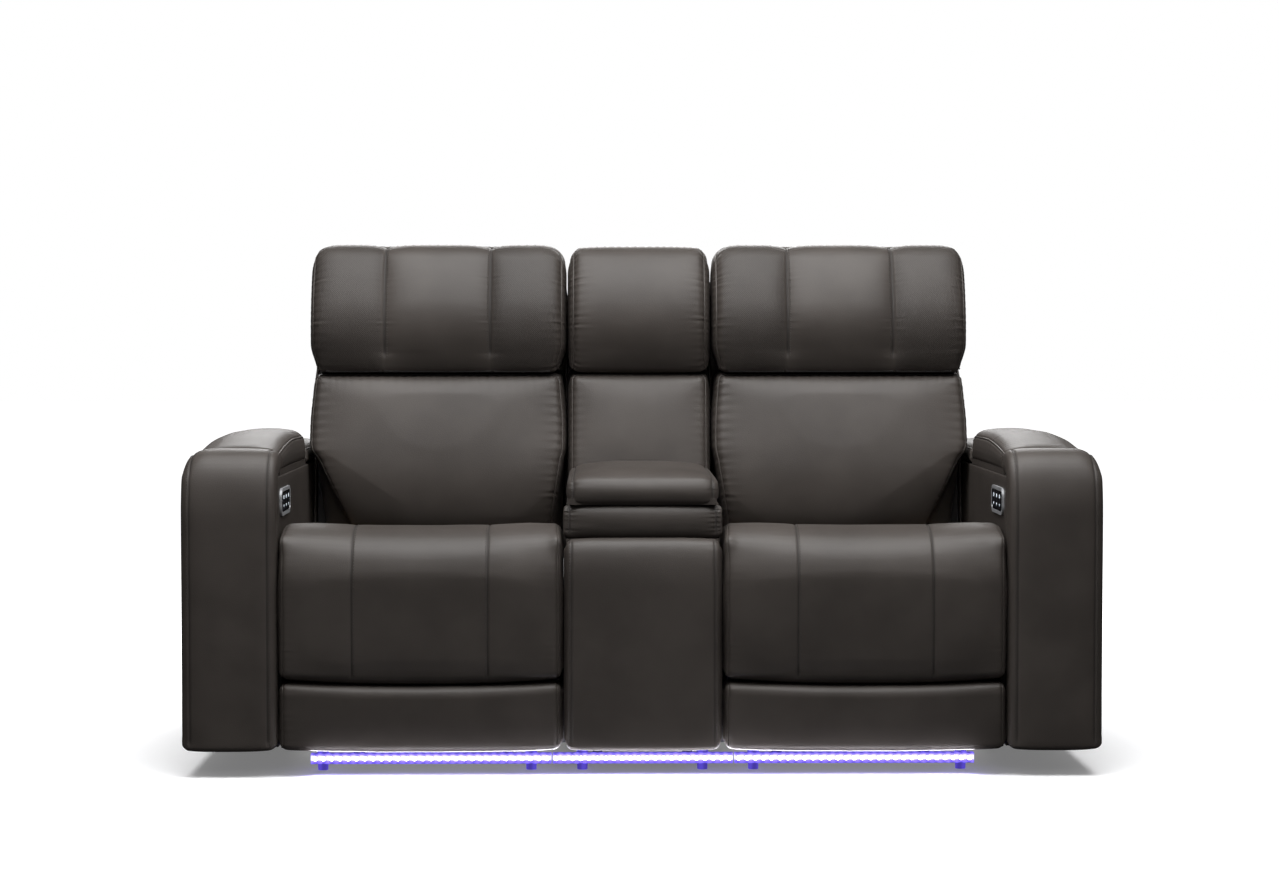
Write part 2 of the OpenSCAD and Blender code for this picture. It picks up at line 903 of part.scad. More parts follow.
module seat_frame(s) {
    color(wood)
        at_seat(s) {
            for (x = [-rail_x, rail_x]) block(rail_w, rail_end_d - rail_d0, rail_h, x, rail_d0, rail_z);
            for (d = [rail_d0, rail_end_d - beam_w])
                block(2 * rail_x - rail_w, beam_w, rail_h, 0, d, rail_z);
        }
    color(steel)
        at_seat(s)
            for (k = sides) {
                channel_top = runner_z + channel_gap + channel_wall;
                wide = beam_w + 2 * channel_gap + 2 * channel_wall;
                // Inverted channel that runs on the base's runner
                difference() {
                    block(wide, channel_l, channel_top - runner_z + runner_h / 2, k * runner_x, channel_d0,
                        runner_z - runner_h / 2);
                    block(beam_w + 2 * channel_gap, channel_l + 2 * cut, channel_gap + runner_h / 2 + cut,
                        k * runner_x, channel_d0 - cut, runner_z - runner_h / 2 - cut);
                }
                block(rail_w, channel_l, rail_z - channel_top, k * rail_x, channel_d0, channel_top);
                // Plate that carries the torque tube
                difference() {
                    plate(
                        [
                            [rail_d0, rail_z - cut], [link_d - hinge_boss_r, link_z - hinge_boss_r],
                            [link_d + hinge_boss_r, link_z - hinge_boss_r],
                            [link_d + hinge_boss_r, link_z + hinge_boss_r - crease],
                            [rail_d0 + beam_w, rail_z + rail_h / 2], [rail_d0 + beam_w, rail_z], [rail_d0, rail_z]
                        ],
                        plate_t, k * pivot_plate_x
                    );
                    bar(tube_r + run_gap, plate_t + 2 * cut, k * pivot_plate_x, link_d, link_z);
                }
                // Plate and pin that carry the back
                plate(
                    [
                        [rail_end_d - 2 * hinge_boss_r, rail_z], [hinge_d - hinge_boss_r, hinge_z - hinge_boss_r],
                        [hinge_d + hinge_boss_r, hinge_z - hinge_boss_r],
                        [hinge_d + hinge_boss_r, hinge_z + hinge_boss_r],
                        [rail_end_d, rail_z + rail_h], [rail_end_d - 2 * hinge_boss_r, rail_z + rail_h]
                    ],
                    plate_t, k * (rail_x + rail_w / 2 + plate_t / 2)
                );
                bar(
                    hinge_pin_r, plate_t + 2 * cut + link_t,
                    k * (rail_x + rail_w / 2 - link_t / 2 + cut), hinge_d, hinge_z
                );
            }
}

// Sinuous springs: a flat wave between the front and the rear rail
function wave(t) = spring_wave * sin(360 * spring_turns * t);
spring_l = rail_end_d - rail_d0 - beam_w;
module seat_springs(s) {
    side = wire_t / 2;
    line = [
        for (k = [0:spring_steps])
            let (t = k / spring_steps)
            [rail_d0 + beam_w / 2 + t * spring_l, wave(t)]
    ];
    edge = concat(
        [for (p = line) [p[0], p[1] - side]],
        [for (k = [spring_steps:-1:0]) [line[k][0], line[k][1] + side]]
    );
    color(steel)
        at_seat(s)
            for (i = [0:spring_count - 1])
                translate([
                    (i - (spring_count - 1) / 2) * 2 * rail_x / (spring_count + 0.5),
                    front, rail_z + rail_h
                ])
                    linear_extrude(wire_t)
                        polygon([for (p = edge) [p[1], p[0]]]);
}

// The cushion's side borders stand higher than its middle
seat_edge = 18;
seat_ear = 9;
seat_radii = [10, 4, 16, 60, 40];
module seat_cushion(s) {
    color(leather)
        at_seat(s)
            pillow(
                [
                    [seat_ear, seat_z], [seat_d - seat_ear, seat_z], [seat_d - seat_ear, seat_rear_h],
                    [seat_roll_d, seat_h], [seat_ear, seat_h - crease]
                ],
                seat_radii,
                seat_w / 2, seat_edge, -seat_ear, [0, -1], [channel_x], channel_dip
            );
}

motor_r = 26;
motor_x = 93;
motor_l = 110;
gear_w = 62;
screw_w = 24;
screw_h = 30;
screw_l = 210;
motor_z = 262;
module seat_motors(s) {
    color(plastic)
        at_seat(s)
            for (k = sides) {
                // Each drive hangs from the rear cross rail by its gear housing
                block(gear_w, gear_w, rail_z - motor_z + gear_w / 2, k * motor_x,
                    rail_end_d - gear_w, motor_z - gear_w / 2);
                block(screw_w, screw_l, screw_h, k * motor_x, rail_end_d - gear_w - screw_l,
                    motor_z - screw_h / 2);
                translate([k * motor_x, front + rail_end_d - gear_w / 2, motor_z - gear_w / 2 - motor_l])
                    cylinder(r = motor_r, h = motor_l, $fn = round_fn);
            }
}

// Footrest

module footrest_board(s) {
    color(wood)
        at_seat(s)
            block(
                seat_w - 2 * seat_edge, board_t, seat_z - 2 * crease - board_z,
                0, pad_t + crease + seat_gap, board_z
            );
    color(steel)
        at_seat(s)
            for (k = sides) {
                plate(
                    [
                        [pad_t + crease + seat_gap + board_t, bracket_z - 2 * link_w],
                        [bracket_d, bracket_z - link_w / 2],
                        [bracket_d + link_w / 2, bracket_z - link_w / 2],
                        [bracket_d + link_w / 2, bracket_z + link_w / 2],
                        [bracket_d, bracket_z + link_w / 2],
                        [pad_t + crease + seat_gap + board_t, bracket_z + 2 * link_w]
                    ],
                    link_t, k * link_x
                );
                bar(
                    pin_r, link_x - inner_link_x + link_t,
                    k * (link_x + inner_link_x) / 2, bracket_d, bracket_z
                );
            }
}

pad_edge = 18;
pad_crown = 2;
pad_radii = [24, 6, 3, 6, 40];
module footrest_pad(s) {
    color(leather)
        at_seat(s)
            pillow(
                [
                    [crease, pad_z], [pad_t + crease, pad_z], [pad_t + crease, seat_z - crease],
                    [0, seat_z - crease], [0, pad_z + pad_t]
                ],
                pad_radii,
                seat_w / 2, pad_edge, pad_crown, [1, 0], [channel_x], channel_dip
            );
}

flap_crown = 4;
flap_radii = [12, 8, 6, 6, 22, 20];
module footrest_flap(s) {
    color(leather)
        at_seat(s)
            pillow(
                [
                    [2 * crease, flap_z], [pad_t - 6 * crease, flap_z], [pad_t + crease, board_z],
                    [pad_t + crease, pad_z - crease], [crease, pad_z - crease], [crease, board_z]
                ],
                flap_radii,
                seat_w / 2, pad_edge, flap_crown, [1, 0], steps = 2
            );
}

module torque_links(s) {
    color(steel)
        at_seat(s) {
            bar(tube_r, 2 * pivot_plate_x + plate_t + 2 * cut, 0, link_d, link_z);
            for (k = sides) {
                link([link_d, link_z], [knee_d, knee_z], link_t, k * link_x);
                bar(
                    pin_r, link_x - inner_link_x + link_t,
                    k * (link_x + inner_link_x) / 2, knee_d, knee_z
                );
            }
        }
}

open_gap = 0.5;
module front_links(s) {
    color(steel)
        at_seat(s)
            for (k = sides)
                difference() {
                    link([knee_d, knee_z], [bracket_d, bracket_z], link_t, k * inner_link_x);
                    bar(pin_r + run_gap, link_t + 2 * cut, k * inner_link_x, knee_d, knee_z);
                    bar(pin_r + open_gap, link_t + 2 * cut, k * inner_link_x, bracket_d, bracket_z);
                }
}

// Back

module back_frame(s) {
    inner_w = seat_w - 2 * skin_t;
    shelf_w = seat_w - 2 * head_edge;
    color(wood)
        at_seat(s)
            plate(
                [
                    [board_at(back_z), back_z], [board_at(back_z) + back_board_t, back_z],
                    [board_at(crease_z) + back_board_t, crease_z], [board_at(crease_z), crease_z]
                ],
                inner_w, 0
            );
    color(steel)
        at_seat(s) {
            for (k = sides)
                difference() {
                    union() {
                        bar(hinge_boss_r, link_t, k * (rail_x + rail_w / 2 - link_t / 2 - seat_gap),
                            hinge_d, hinge_z);
                        plate(
                            [
                                [hinge_d - hinge_boss_r, hinge_z], [hinge_d + hinge_boss_r, hinge_z],
                                [board_at(back_z) + back_board_t, back_z + 2 * hinge_boss_r],
                                [board_at(back_z + 2 * hinge_boss_r), back_z + 2 * hinge_boss_r],
                                [board_at(back_z), back_z]
                            ],
                            link_t, k * (rail_x + rail_w / 2 - link_t / 2 - seat_gap)
                        );
                    }
                    bar(hinge_pin_r + run_gap, seat_w, 0, hinge_d, hinge_z);
                }
            // Shelf over the lower cushion, with the fixed half of the headrest hinge
            difference() {
                union() {
                    block(shelf_w, board_at(crease_z) - barrel_d, shelf_t, 0, barrel_d, crease_z - barrel_r);
                    bar(barrel_r, shelf_w, 0, barrel_d, crease_z);
                }
                block(
                    shelf_w / 2, 2 * barrel_r + seat_gap + cut, 2 * barrel_r + 2 * cut,
                    0, barrel_d - barrel_r - cut, crease_z - barrel_r - cut
                );
            }
        }
}

module back_cushion(s) {
    color(leather)
        at_seat(s)
            pillow(back_corners(cushion_top), back_radii, seat_w / 2, back_edge, back_crown, [1, 0]);
}

module back_cover(s) {
    function outer(t) = [
        [board_at(shell_z) + t * back_slope, shell_z + t], [shell_at(shell_z) - t, shell_z + t],
        [overall_d - t - t * shell_slope, shell_h - t], [board_at(shell_h) - t * back_slope, shell_h - t]
    ];
    color(leather)
        at_seat(s)
            difference() {
                plate(outer(0), seat_w, 0);
                plate(outer(skin_t), seat_w - 2 * skin_t, 0);
                // The front is open above the lower edge
                plate(
                    [
                        [board_at(shell_z) - cut, shell_z + skin_t],
                        [board_at(shell_z) + 2 * cut, shell_z + skin_t],
                        [board_at(shell_h) + 2 * cut, shell_h - skin_t],
                        [board_at(shell_h) - cut, shell_h - skin_t]
                    ],
                    seat_w - 2 * skin_t, 0
                );
                plate(
                    [
                        [hinge_d, shell_z - cut], [board_at(back_z), shell_z - cut],
                        [board_at(back_z), back_z], [board_at(shell_h) + skin_t, shell_h - skin_t],
                        [hinge_d, shell_h - skin_t]
                    ],
                    seat_w - 2 * skin_t, 0
                );
                // The sides stand back from the headrest
                plate(
                    [
                        [board_at(cushion_top) - cut, cushion_top], [head_back(cushion_top), cushion_top],
                        [head_back(shell_h + cut), shell_h + cut], [board_at(cushion_top) - cut, shell_h + cut]
                    ],
                    seat_w + cut, 0
                );
            }
}

module headrest_frame(s) {
    rear = head_rear_d + seat_gap;
    top = head_board_top - 2 * head_board_t;
    low = crease_z + barrel_r;
    shelf_w = seat_w - 2 * head_edge;
    color(wood)
        at_seat(s)
            plate(
                [
                    [rear, low - shelf_t], [rear + head_board_t, low - shelf_t],
                    [rear + head_board_t + (top - low) * back_slope, top], [rear + (top - low) * back_slope, top]
                ],
                seat_w - 2 * head_edge, 0
            );
    color(steel)
        at_seat(s) {
            block(shelf_w, rear - barrel_d - barrel_r, shelf_t, 0, barrel_d + barrel_r, low - shelf_t);
            block(
                shelf_w / 2 - 2 * crease, rear - barrel_d, shelf_t,
                0, barrel_d, low - shelf_t
            );
            bar(barrel_r, shelf_w / 2 - 2 * crease, 0, barrel_d, crease_z);
        }
}

module headrest_cushion(s) {
    color(leather)
        at_seat(s)
            pillow(
                head_corners(head_rear_d, head_z), head_radii,
                seat_w / 2, head_edge, head_crown, [1, 0], [head_seam_x], head_dip, steps = 2
            );
}

base_frame();
feet();
arm_box(left);  // left_arm_box
arm_box(right);  // right_arm_box
arm_fascia(left);  // left_arm_fascia
arm_fascia(right);  // right_arm_fascia
arm_cover(left);  // left_arm_cover
arm_cover(right);  // right_arm_cover
console_box();
console_front_pad();
console_band_pad();
centre_back_frame();
centre_back_cushion();
centre_head_cushion();
light_channels();
light_beads();
power_inlet();
switch_bezels();
switch_plates();
lid_hinges();
rocker(left, 0);  // left_headrest_rocker
rocker(left, 1);  // left_back_rocker
rocker(left, 2);  // left_footrest_rocker
rocker(right, 0);  // right_headrest_rocker
rocker(right, 1);  // right_back_rocker
rocker(right, 2);  // right_footrest_rocker
arm_lid_board(left);  // left_arm_lid_board
arm_lid_pad(left);  // left_arm_lid_pad
arm_lid_board(right);  // right_arm_lid_board
arm_lid_pad(right);  // right_arm_lid_pad
console_lid_board();
console_lid_pad();
seat_frame(left);  // left_seat_frame
seat_springs(left);  // left_seat_springs
seat_cushion(left);  // left_seat_cushion
seat_motors(left);  // left_seat_motors
footrest_board(left);  // left_footrest_board
footrest_pad(left);  // left_footrest_pad
footrest_flap(left);  // left_footrest_flap
torque_links(left);  // left_torque_links
front_links(left);  // left_front_links
back_frame(left);  // left_back_frame
back_cushion(left);  // left_back_cushion
back_cover(left);  // left_back_cover
headrest_frame(left);  // left_headrest_frame
headrest_cushion(left);  // left_headrest_cushion
seat_frame(right);  // right_seat_frame
seat_springs(right);  // right_seat_springs
seat_cushion(right);  // right_seat_cushion
seat_motors(right);  // right_seat_motors
footrest_board(right);  // right_footrest_board
footrest_pad(right);  // right_footrest_pad
footrest_flap(right);  // right_footrest_flap
torque_links(right);  // right_torque_links
front_links(right);  // right_front_links
back_frame(right);  // right_back_frame
back_cushion(right);  // right_back_cushion
back_cover(right);  // right_back_cover
headrest_frame(right);  // right_headrest_frame
headrest_cushion(right);  // right_headrest_cushion
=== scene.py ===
"""Looks of a two-seat powered recliner with a storage console, built round its CAD frame.

Soft pieces are worked out in millimetres: x across, d the depth behind the plane of the
arm fronts, z the height from the floor. The mesh maker turns them into the frame's metres.
"""
import logging
import math
from dataclasses import dataclass, field
from enum import Enum
from typing import Callable, Sequence

import bpy
import numpy as np
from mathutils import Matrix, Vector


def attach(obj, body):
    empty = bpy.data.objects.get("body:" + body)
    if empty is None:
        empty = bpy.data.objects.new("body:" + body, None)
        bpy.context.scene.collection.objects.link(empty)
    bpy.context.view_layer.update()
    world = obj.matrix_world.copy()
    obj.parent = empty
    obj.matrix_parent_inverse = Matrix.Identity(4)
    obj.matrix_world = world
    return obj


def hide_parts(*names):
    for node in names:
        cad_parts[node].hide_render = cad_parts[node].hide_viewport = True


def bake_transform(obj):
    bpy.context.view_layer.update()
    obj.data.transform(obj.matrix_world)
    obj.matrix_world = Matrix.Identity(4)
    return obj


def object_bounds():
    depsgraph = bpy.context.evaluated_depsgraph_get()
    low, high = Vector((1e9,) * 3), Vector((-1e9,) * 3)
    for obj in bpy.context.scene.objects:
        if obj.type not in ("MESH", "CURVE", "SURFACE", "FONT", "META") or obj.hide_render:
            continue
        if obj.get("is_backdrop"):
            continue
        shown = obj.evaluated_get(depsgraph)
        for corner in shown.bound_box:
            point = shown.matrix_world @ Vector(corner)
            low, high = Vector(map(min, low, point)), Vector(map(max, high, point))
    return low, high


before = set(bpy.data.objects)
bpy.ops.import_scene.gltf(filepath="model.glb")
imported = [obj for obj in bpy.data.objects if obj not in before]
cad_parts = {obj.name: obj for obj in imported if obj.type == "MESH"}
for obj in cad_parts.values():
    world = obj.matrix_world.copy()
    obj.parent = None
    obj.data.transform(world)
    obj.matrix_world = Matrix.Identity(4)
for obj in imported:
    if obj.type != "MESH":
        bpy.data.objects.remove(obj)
cad_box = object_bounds()

Array = np.ndarray
Pair = tuple[float, float]
LOG = logging.getLogger("recliner")
MM = 0.001
FRONT_MM = -475.0

# Directions, in depth and height, of the face with which a cushion lies on its board
BACKWARDS: Pair = (1.0, 0.0)
DOWN: Pair = (0.0, -1.0)

# Share of the crown that is there before the cloth run adds the rest
CROWN_SHARE = 0.8
# Largest movement that the cloth run may add, as a share of the puff
CLOTH_SHARE = 0.4
CLOTH_FRAMES = 20
# Freedom under which a point of the cloth is held
HELD_UNDER = 0.12

# The boards of the backs lean: their front stands at this depth at this height
BOARD_D = 678.0
BOARD_Z = 445.0
BACK_LEAN = 0.1589
SEAT_HALF = 282.5


class Side(Enum):
    """The two seats, as seen from the front."""

    LEFT = -1
    RIGHT = 1

    @property
    def word(self) -> str:
        """The side's name in the frame's node and body names."""
        return self.name.lower()


# Plain numbers on arrays


def smooth(t: Array | float) -> Array:
    """Smooth step: 3t^2 - 2t^3 of t held between 0 and 1."""
    t = np.clip(t, 0.0, 1.0)
    return t * t * (3.0 - 2.0 * t)


def bell(t: Array, width: float) -> Array:
    """Bell curve: e to the minus (t / width) squared."""
    return np.exp(-((t / width) ** 2))


def ring_mean(values: Array, reach: int) -> Array:
    """Running mean round a closed row.

    Args:
        values: One row per place on the ring.
        reach: How many neighbours on each side count.

    Returns:
        The averaged rows.
    """
    turned = [np.roll(values, k, axis=0) for k in range(-reach, reach + 1)]
    return sum(turned) / len(turned)


def graded(low: float, high: float, pitch: float, marks: Sequence[float], finer: float = 2.2) -> Array:
    """Places from low to high, closer together near the marks.

    The density is 1/pitch, raised by a bell round each mark; equal shares of its running
    sum give the places.

    Args:
        low: First place.
        high: Last place.
        pitch: Spacing far from any mark.
        marks: Places that need detail.
        finer: How many times closer the spacing is at a mark.

    Returns:
        The places in rising order.
    """
    t = np.linspace(low, high, 4000)
    dense = np.full_like(t, 1.0 / pitch)
    for mark in marks:
        dense = np.maximum(dense, (1.0 + (finer - 1.0) * bell(t - mark, 14.0)) / pitch)
    run = np.concatenate([[0.0], np.cumsum((dense[1:] + dense[:-1]) / 2 * np.diff(t))])
    count = max(2, int(math.ceil(run[-1])))
    return np.interp(np.linspace(0.0, run[-1], count + 1), run, t)


def resample(path: Array, step: float) -> Array:
    """An open path's points at even spacing along it.

    Args:
        path: Rows of coordinates.
        step: Wanted spacing.

    Returns:
        The evenly spaced rows.
    """
    gone = np.concatenate([[0.0], np.cumsum(np.linalg.norm(np.diff(path, axis=0), axis=1))])
    count = max(2, int(round(gone[-1] / step)) + 1)
    at = np.linspace(0.0, gone[-1], count)
    return np.column_stack([np.interp(at, gone, path[:, k]) for k in range(path.shape[1])])


def rounded_path(corners: Sequence[Pair], radius: float, step: float = 3.0) -> Array:
    """An open path whose inner corners are parabolas, evenly resampled.

    A corner c between a and b is replaced by (1-t)^2 a + 2t(1-t) c + t^2 b, with a and b
    a radius before and after it.

    Args:
        corners: The path's corners.
        radius: Length that each corner takes from both its lines.
        step: Spacing of the result.

    Returns:
        Rows of the two coordinates.
    """
    c = np.array(corners, float)
    rows = [c[:1]]
    t = np.linspace(0.0, 1.0, 13)[:, None]
    for before, here, after in zip(c[:-2], c[1:-1], c[2:]):
        a = here + (before - here) / np.linalg.norm(before - here) * radius
        b = here + (after - here) / np.linalg.norm(after - here) * radius
        rows.append((1 - t) ** 2 * a + 2 * t * (1 - t) * here + t * t * b)
    rows.append(c[-1:])
    return resample(np.vstack(rows), step)


# Meshes


class MeshPot:
    """Collects parts of one mesh, in millimetres, and makes it an object."""

    def __init__(self) -> None:
        """Start empty."""
        self.points: list[Array] = []
        self.quads: list[Array] = []
        self.caps: list[Array] = []
        self.count = 0

    def add(self, points: Array, quads: Array, caps: Sequence[Array] = ()) -> None:
        """Add one part.

        Args:
            points: Rows of x, d, z.
            quads: Rows of four point numbers.
            caps: Rings of point numbers, each closed by one face.
        """
        self.points.append(points.reshape(-1, 3))
        self.quads.append(quads.reshape(-1, 4) + self.count)
        self.caps.extend(cap + self.count for cap in caps)
        self.count += points.reshape(-1, 3).shape[0]

    def add_copies(self, points: Array) -> None:
        """Add many small closed solids, given by solid, ring, place on the ring and x, d, z."""
        number, rings, sides = points.shape[:3]
        one = grid_quads(rings, sides, False, True)[..., ::-1].reshape(-1, 4)
        starts = (np.arange(number) * rings * sides)[:, None, None]
        ends = (np.arange(sides)[::-1], (rings - 1) * sides + np.arange(sides))
        self.add(points, one[None] + starts, [cap + start for start in starts.ravel() for cap in ends])

    def build(
        self, name: str, uv: Array | None = None, marks: dict[str, Array] | None = None
    ) -> bpy.types.Object:
        """Make the object, smooth shaded, at the origin.

        Args:
            name: The piece's name.
            uv: For each quad, four rows of two coordinates.
            marks: Values per point, by attribute name.

        Returns:
            The new object.
        """
        points = np.vstack(self.points) * MM
        points[:, 1] += FRONT_MM * MM
        quads = np.vstack(self.quads)
        loops = np.concatenate([quads.ravel(), *self.caps]).astype(np.int32)
        sizes = np.concatenate([np.full(len(quads), 4), [len(c) for c in self.caps]]).astype(np.int32)
        mesh = bpy.data.meshes.new(name)
        mesh.vertices.add(len(points))
        mesh.vertices.foreach_set("co", points.astype(np.float32).ravel())
        mesh.loops.add(len(loops))
        mesh.loops.foreach_set("vertex_index", loops)
        mesh.polygons.add(len(sizes))
        starts = np.concatenate([[0], np.cumsum(sizes)[:-1]]).astype(np.int32)
        mesh.polygons.foreach_set("loop_start", starts)
        mesh.polygons.foreach_set("use_smooth", np.ones(len(sizes), bool))
        mesh.update(calc_edges=True)
        if uv is not None:
            flat = np.zeros((len(loops), 2), np.float32)
            flat[: len(quads) * 4] = uv.reshape(-1, 2)
            mesh.uv_layers.new(name="UVMap").data.foreach_set("uv", flat.ravel())
        for key, values in (marks or {}).items():
            data = mesh.attributes.new(key, "FLOAT", "POINT").data
            data.foreach_set("value", values.astype(np.float32).ravel())
        obj = bpy.data.objects.new(name, mesh)
        bpy.context.scene.collection.objects.link(obj)
        return obj


def grid_quads(rows: int, columns: int, closed_rows: bool, closed_columns: bool = False) -> Array:
    """Point numbers of a grid's quads, first along the rows and then along the columns.

    Args:
        rows: Number of rows.
        columns: Number of columns.
        closed_rows: Whether the last row joins the first.
        closed_columns: Whether the last column joins the first.

    Returns:
        An array of rows, columns and four numbers.
    """
    i = np.arange(rows if closed_rows else rows - 1)[:, None]
    j = np.arange(columns if closed_columns else columns - 1)[None, :]
    i2, j2 = (i + 1) % rows, (j + 1) % columns
    return np.stack([i * columns + j, i2 * columns + j, i2 * columns + j2, i * columns + j2], axis=-1)


def unit_rows(v: Array) -> Array:
    """Each row divided by its length."""
    return v / np.maximum(np.linalg.norm(v, axis=-1, keepdims=True), 1e-9)


def tube(centres: Array, lifts: Array, radius: float, closed: bool) -> tuple[Array, Array, list[Array]]:
    """A round tube along a path: each ring is centre + r (cos a N + sin a B).

    N is the lift turned square to the path, and B = T x N.

    Args:
        centres: Rows of the path.
        lifts: A direction for N at each row.
        radius: Its radius.
        closed: Whether the path is a loop.

    Returns:
        Points, quads and end rings.
    """
    if closed:
        run = unit_rows(np.roll(centres, -1, 0) - np.roll(centres, 1, 0))
    else:
        run = unit_rows(np.gradient(centres, axis=0))
    n = unit_rows(lifts - (lifts * run).sum(-1, keepdims=True) * run)
    b = np.cross(run, n)
    sides = 8
    a = np.arange(sides)[None, :, None] * 2 * np.pi / sides
    points = centres[:, None] + radius * (np.cos(a) * n[:, None] + np.sin(a) * b[:, None])
    quads = grid_quads(len(centres), sides, closed, True)[..., ::-1]
    last = (len(centres) - 1) * sides
    caps = [] if closed else [np.arange(sides)[::-1], last + np.arange(sides)]
    return points, quads, caps


# Soft surfaces


class Outline:
    """Closed side outline with parabola corners, and the spine that lies inside it.

    The corners run counterclockwise seen from +X. Every place on the outline has a length
    u from its start, a point, a direction outwards and the nearest point of the spine.
    """

    def __init__(self, corners: Sequence[Pair], radii: Sequence[float | Pair], spine: Sequence[Pair]) -> None:
        """Work the outline out at every millimetre.

        Args:
            corners: Depth and height of each corner.
            radii: Length that each corner's parabola takes from both its lines, or from
                the line before and the line after it.
            spine: Depth and height of the points of the line inside.
        """
        c = np.array(corners, float)
        r = np.array([np.broadcast_to(radius, 2) for radius in radii], float)
        room = np.linalg.norm(np.roll(c, -1, 0) - c, axis=1)
        share = np.minimum(1.0, 0.96 * room / (r[:, 1] + np.roll(r[:, 0], -1)))
        r = r * np.column_stack([np.roll(share, 1), share])
        a = c + unit_rows(np.roll(c, 1, 0) - c) * r[:, :1]
        b = c + unit_rows(np.roll(c, -1, 0) - c) * r[:, 1:]
        t = np.linspace(0.0, 1.0, 17)[None, :, None]
        arcs = (1 - t) ** 2 * a[:, None] + 2 * t * (1 - t) * c[:, None] + t * t * b[:, None]
        line = arcs.reshape(-1, 2)
        closed = np.vstack([line, line[:1]])
        gone = np.concatenate([[0.0], np.cumsum(np.linalg.norm(np.diff(closed, axis=0), axis=1))])
        self.length = float(gone[-1])
        self.u = np.arange(int(self.length)) * self.length / int(self.length)
        self.line = np.column_stack([np.interp(self.u, gone, closed[:, k]) for k in (0, 1)])
        run = np.roll(self.line, -2, 0) - np.roll(self.line, 2, 0)
        self.out = unit_rows(ring_mean(unit_rows(np.column_stack([run[:, 1], -run[:, 0]])), 3))
        self.core = ring_mean(self._on_spine(np.array(spine, float)), 6)
        self.bends = [float(self.near(*p)) for p in c]

    def _on_spine(self, spine: Array) -> Array:
        """Nearest point of the spine to every point of the outline."""
        best, far = None, None
        for a, b in zip(spine[:-1], spine[1:]):
            t = np.clip(((self.line - a) @ (b - a)) / ((b - a) @ (b - a)), 0.0, 1.0)[:, None]
            spot = a + t * (b - a)
            gap = np.linalg.norm(spot - self.line, axis=1)
            if best is None:
                best, far = spot, gap
            else:
                best = np.where((gap < far)[:, None], spot, best)
                far = np.minimum(gap, far)
        return best

    def near(self, d: float, z: float) -> float:
        """Length u of the outline's point nearest to a depth and height."""
        return self.u[np.argmin(np.linalg.norm(self.line - np.array([d, z]), axis=1))]

    def pick(self, values: Array, u: Array) -> Array:
        """Rows of values at lengths u, taken between neighbours round the ring."""
        at = np.append(self.u, self.length)
        rows = np.vstack([values, values[:1]])
        u = np.mod(u, self.length)
        return np.column_stack([np.interp(u, at, rows[:, k]) for k in range(rows.shape[1])])


@dataclass(frozen=True)
class Seam:
    """A sewn line on a soft surface, given by rows of length round and place across.

    groove and width shape the narrow valley, pull and reach the broad one, pucker, pitch
    and soft the small folds that run away from it. fade is the length over which it ends.
    """

    path: Array
    groove: float = 2.6
    width: float = 3.2
    pull: float = 2.5
    reach: float = 20.0
    pucker: float = 0.8
    pitch: float = 17.0
    soft: float = 24.0
    fade: float = 18.0

    def press(self, u: Array, s: Array, length: float, seed: float) -> tuple[Array, Array]:
        """How far the surface is pressed in, and a mask for painted shade along the seam.

        The distance to the path's nearest segment gives the valleys: a narrow bell and a
        broad falling curve. The folds are two sines of the length along the path, which
        fade with the distance.

        Args:
            u: Lengths round, one for each grid row.
            s: Places across, one for each grid column.
            length: The outline's length, at which u starts again.
            seed: Shifts the folds.

        Returns:
            Depth in millimetres and a mask from 0 to 1 for painted seam shade, both on the grid.
        """
        middle = (self.path[:, 0].min() + self.path[:, 0].max()) / 2
        uu = (np.mod(u - middle + length / 2, length) + middle - length / 2)[:, None]
        ss = s[None, :]
        near = np.full((len(u), len(s)), 1e9)
        along = np.zeros_like(near)
        gone = 0.0
        for a, b in zip(self.path[:-1], self.path[1:]):
            span = float(np.hypot(*(b - a)))
            if span < 1e-6:
                continue
            t = np.clip(((uu - a[0]) * (b[0] - a[0]) + (ss - a[1]) * (b[1] - a[1])) / span**2, 0.0, 1.0)
            gap = np.hypot(uu - a[0] - t * (b[0] - a[0]), ss - a[1] - t * (b[1] - a[1]))
            closer = gap < near
            near = np.where(closer, gap, near)
            along = np.where(closer, gone + t * span, along)
            gone += span
        ends = smooth(along / self.fade + 0.15) * smooth((gone - along) / self.fade + 0.15)
        valley = self.groove * bell(near, self.width) + self.pull * np.exp(-((near / self.reach) ** 1.3))
        phase = 2 * np.pi * along / self.pitch + seed
        wander = 1.3 * np.sin(along / 41.0 + 2.1 * seed)
        folds = 0.6 * np.sin(phase + wander) + 0.4 * np.sin(1.73 * phase - 2.0 * wander + seed)
        fold_room = smooth(near / 5.0) * np.exp(-((near / self.soft) ** 1.5))
        depth = ends * (valley + self.pucker * (1.0 + folds) * fold_room)
        # The mask is painted shade: the leather darkens its colour along the seam with it, and roughens it
        # there.
        return depth, np.clip(ends * bell(near, self.width * 0.8), 0.0, 1.0)


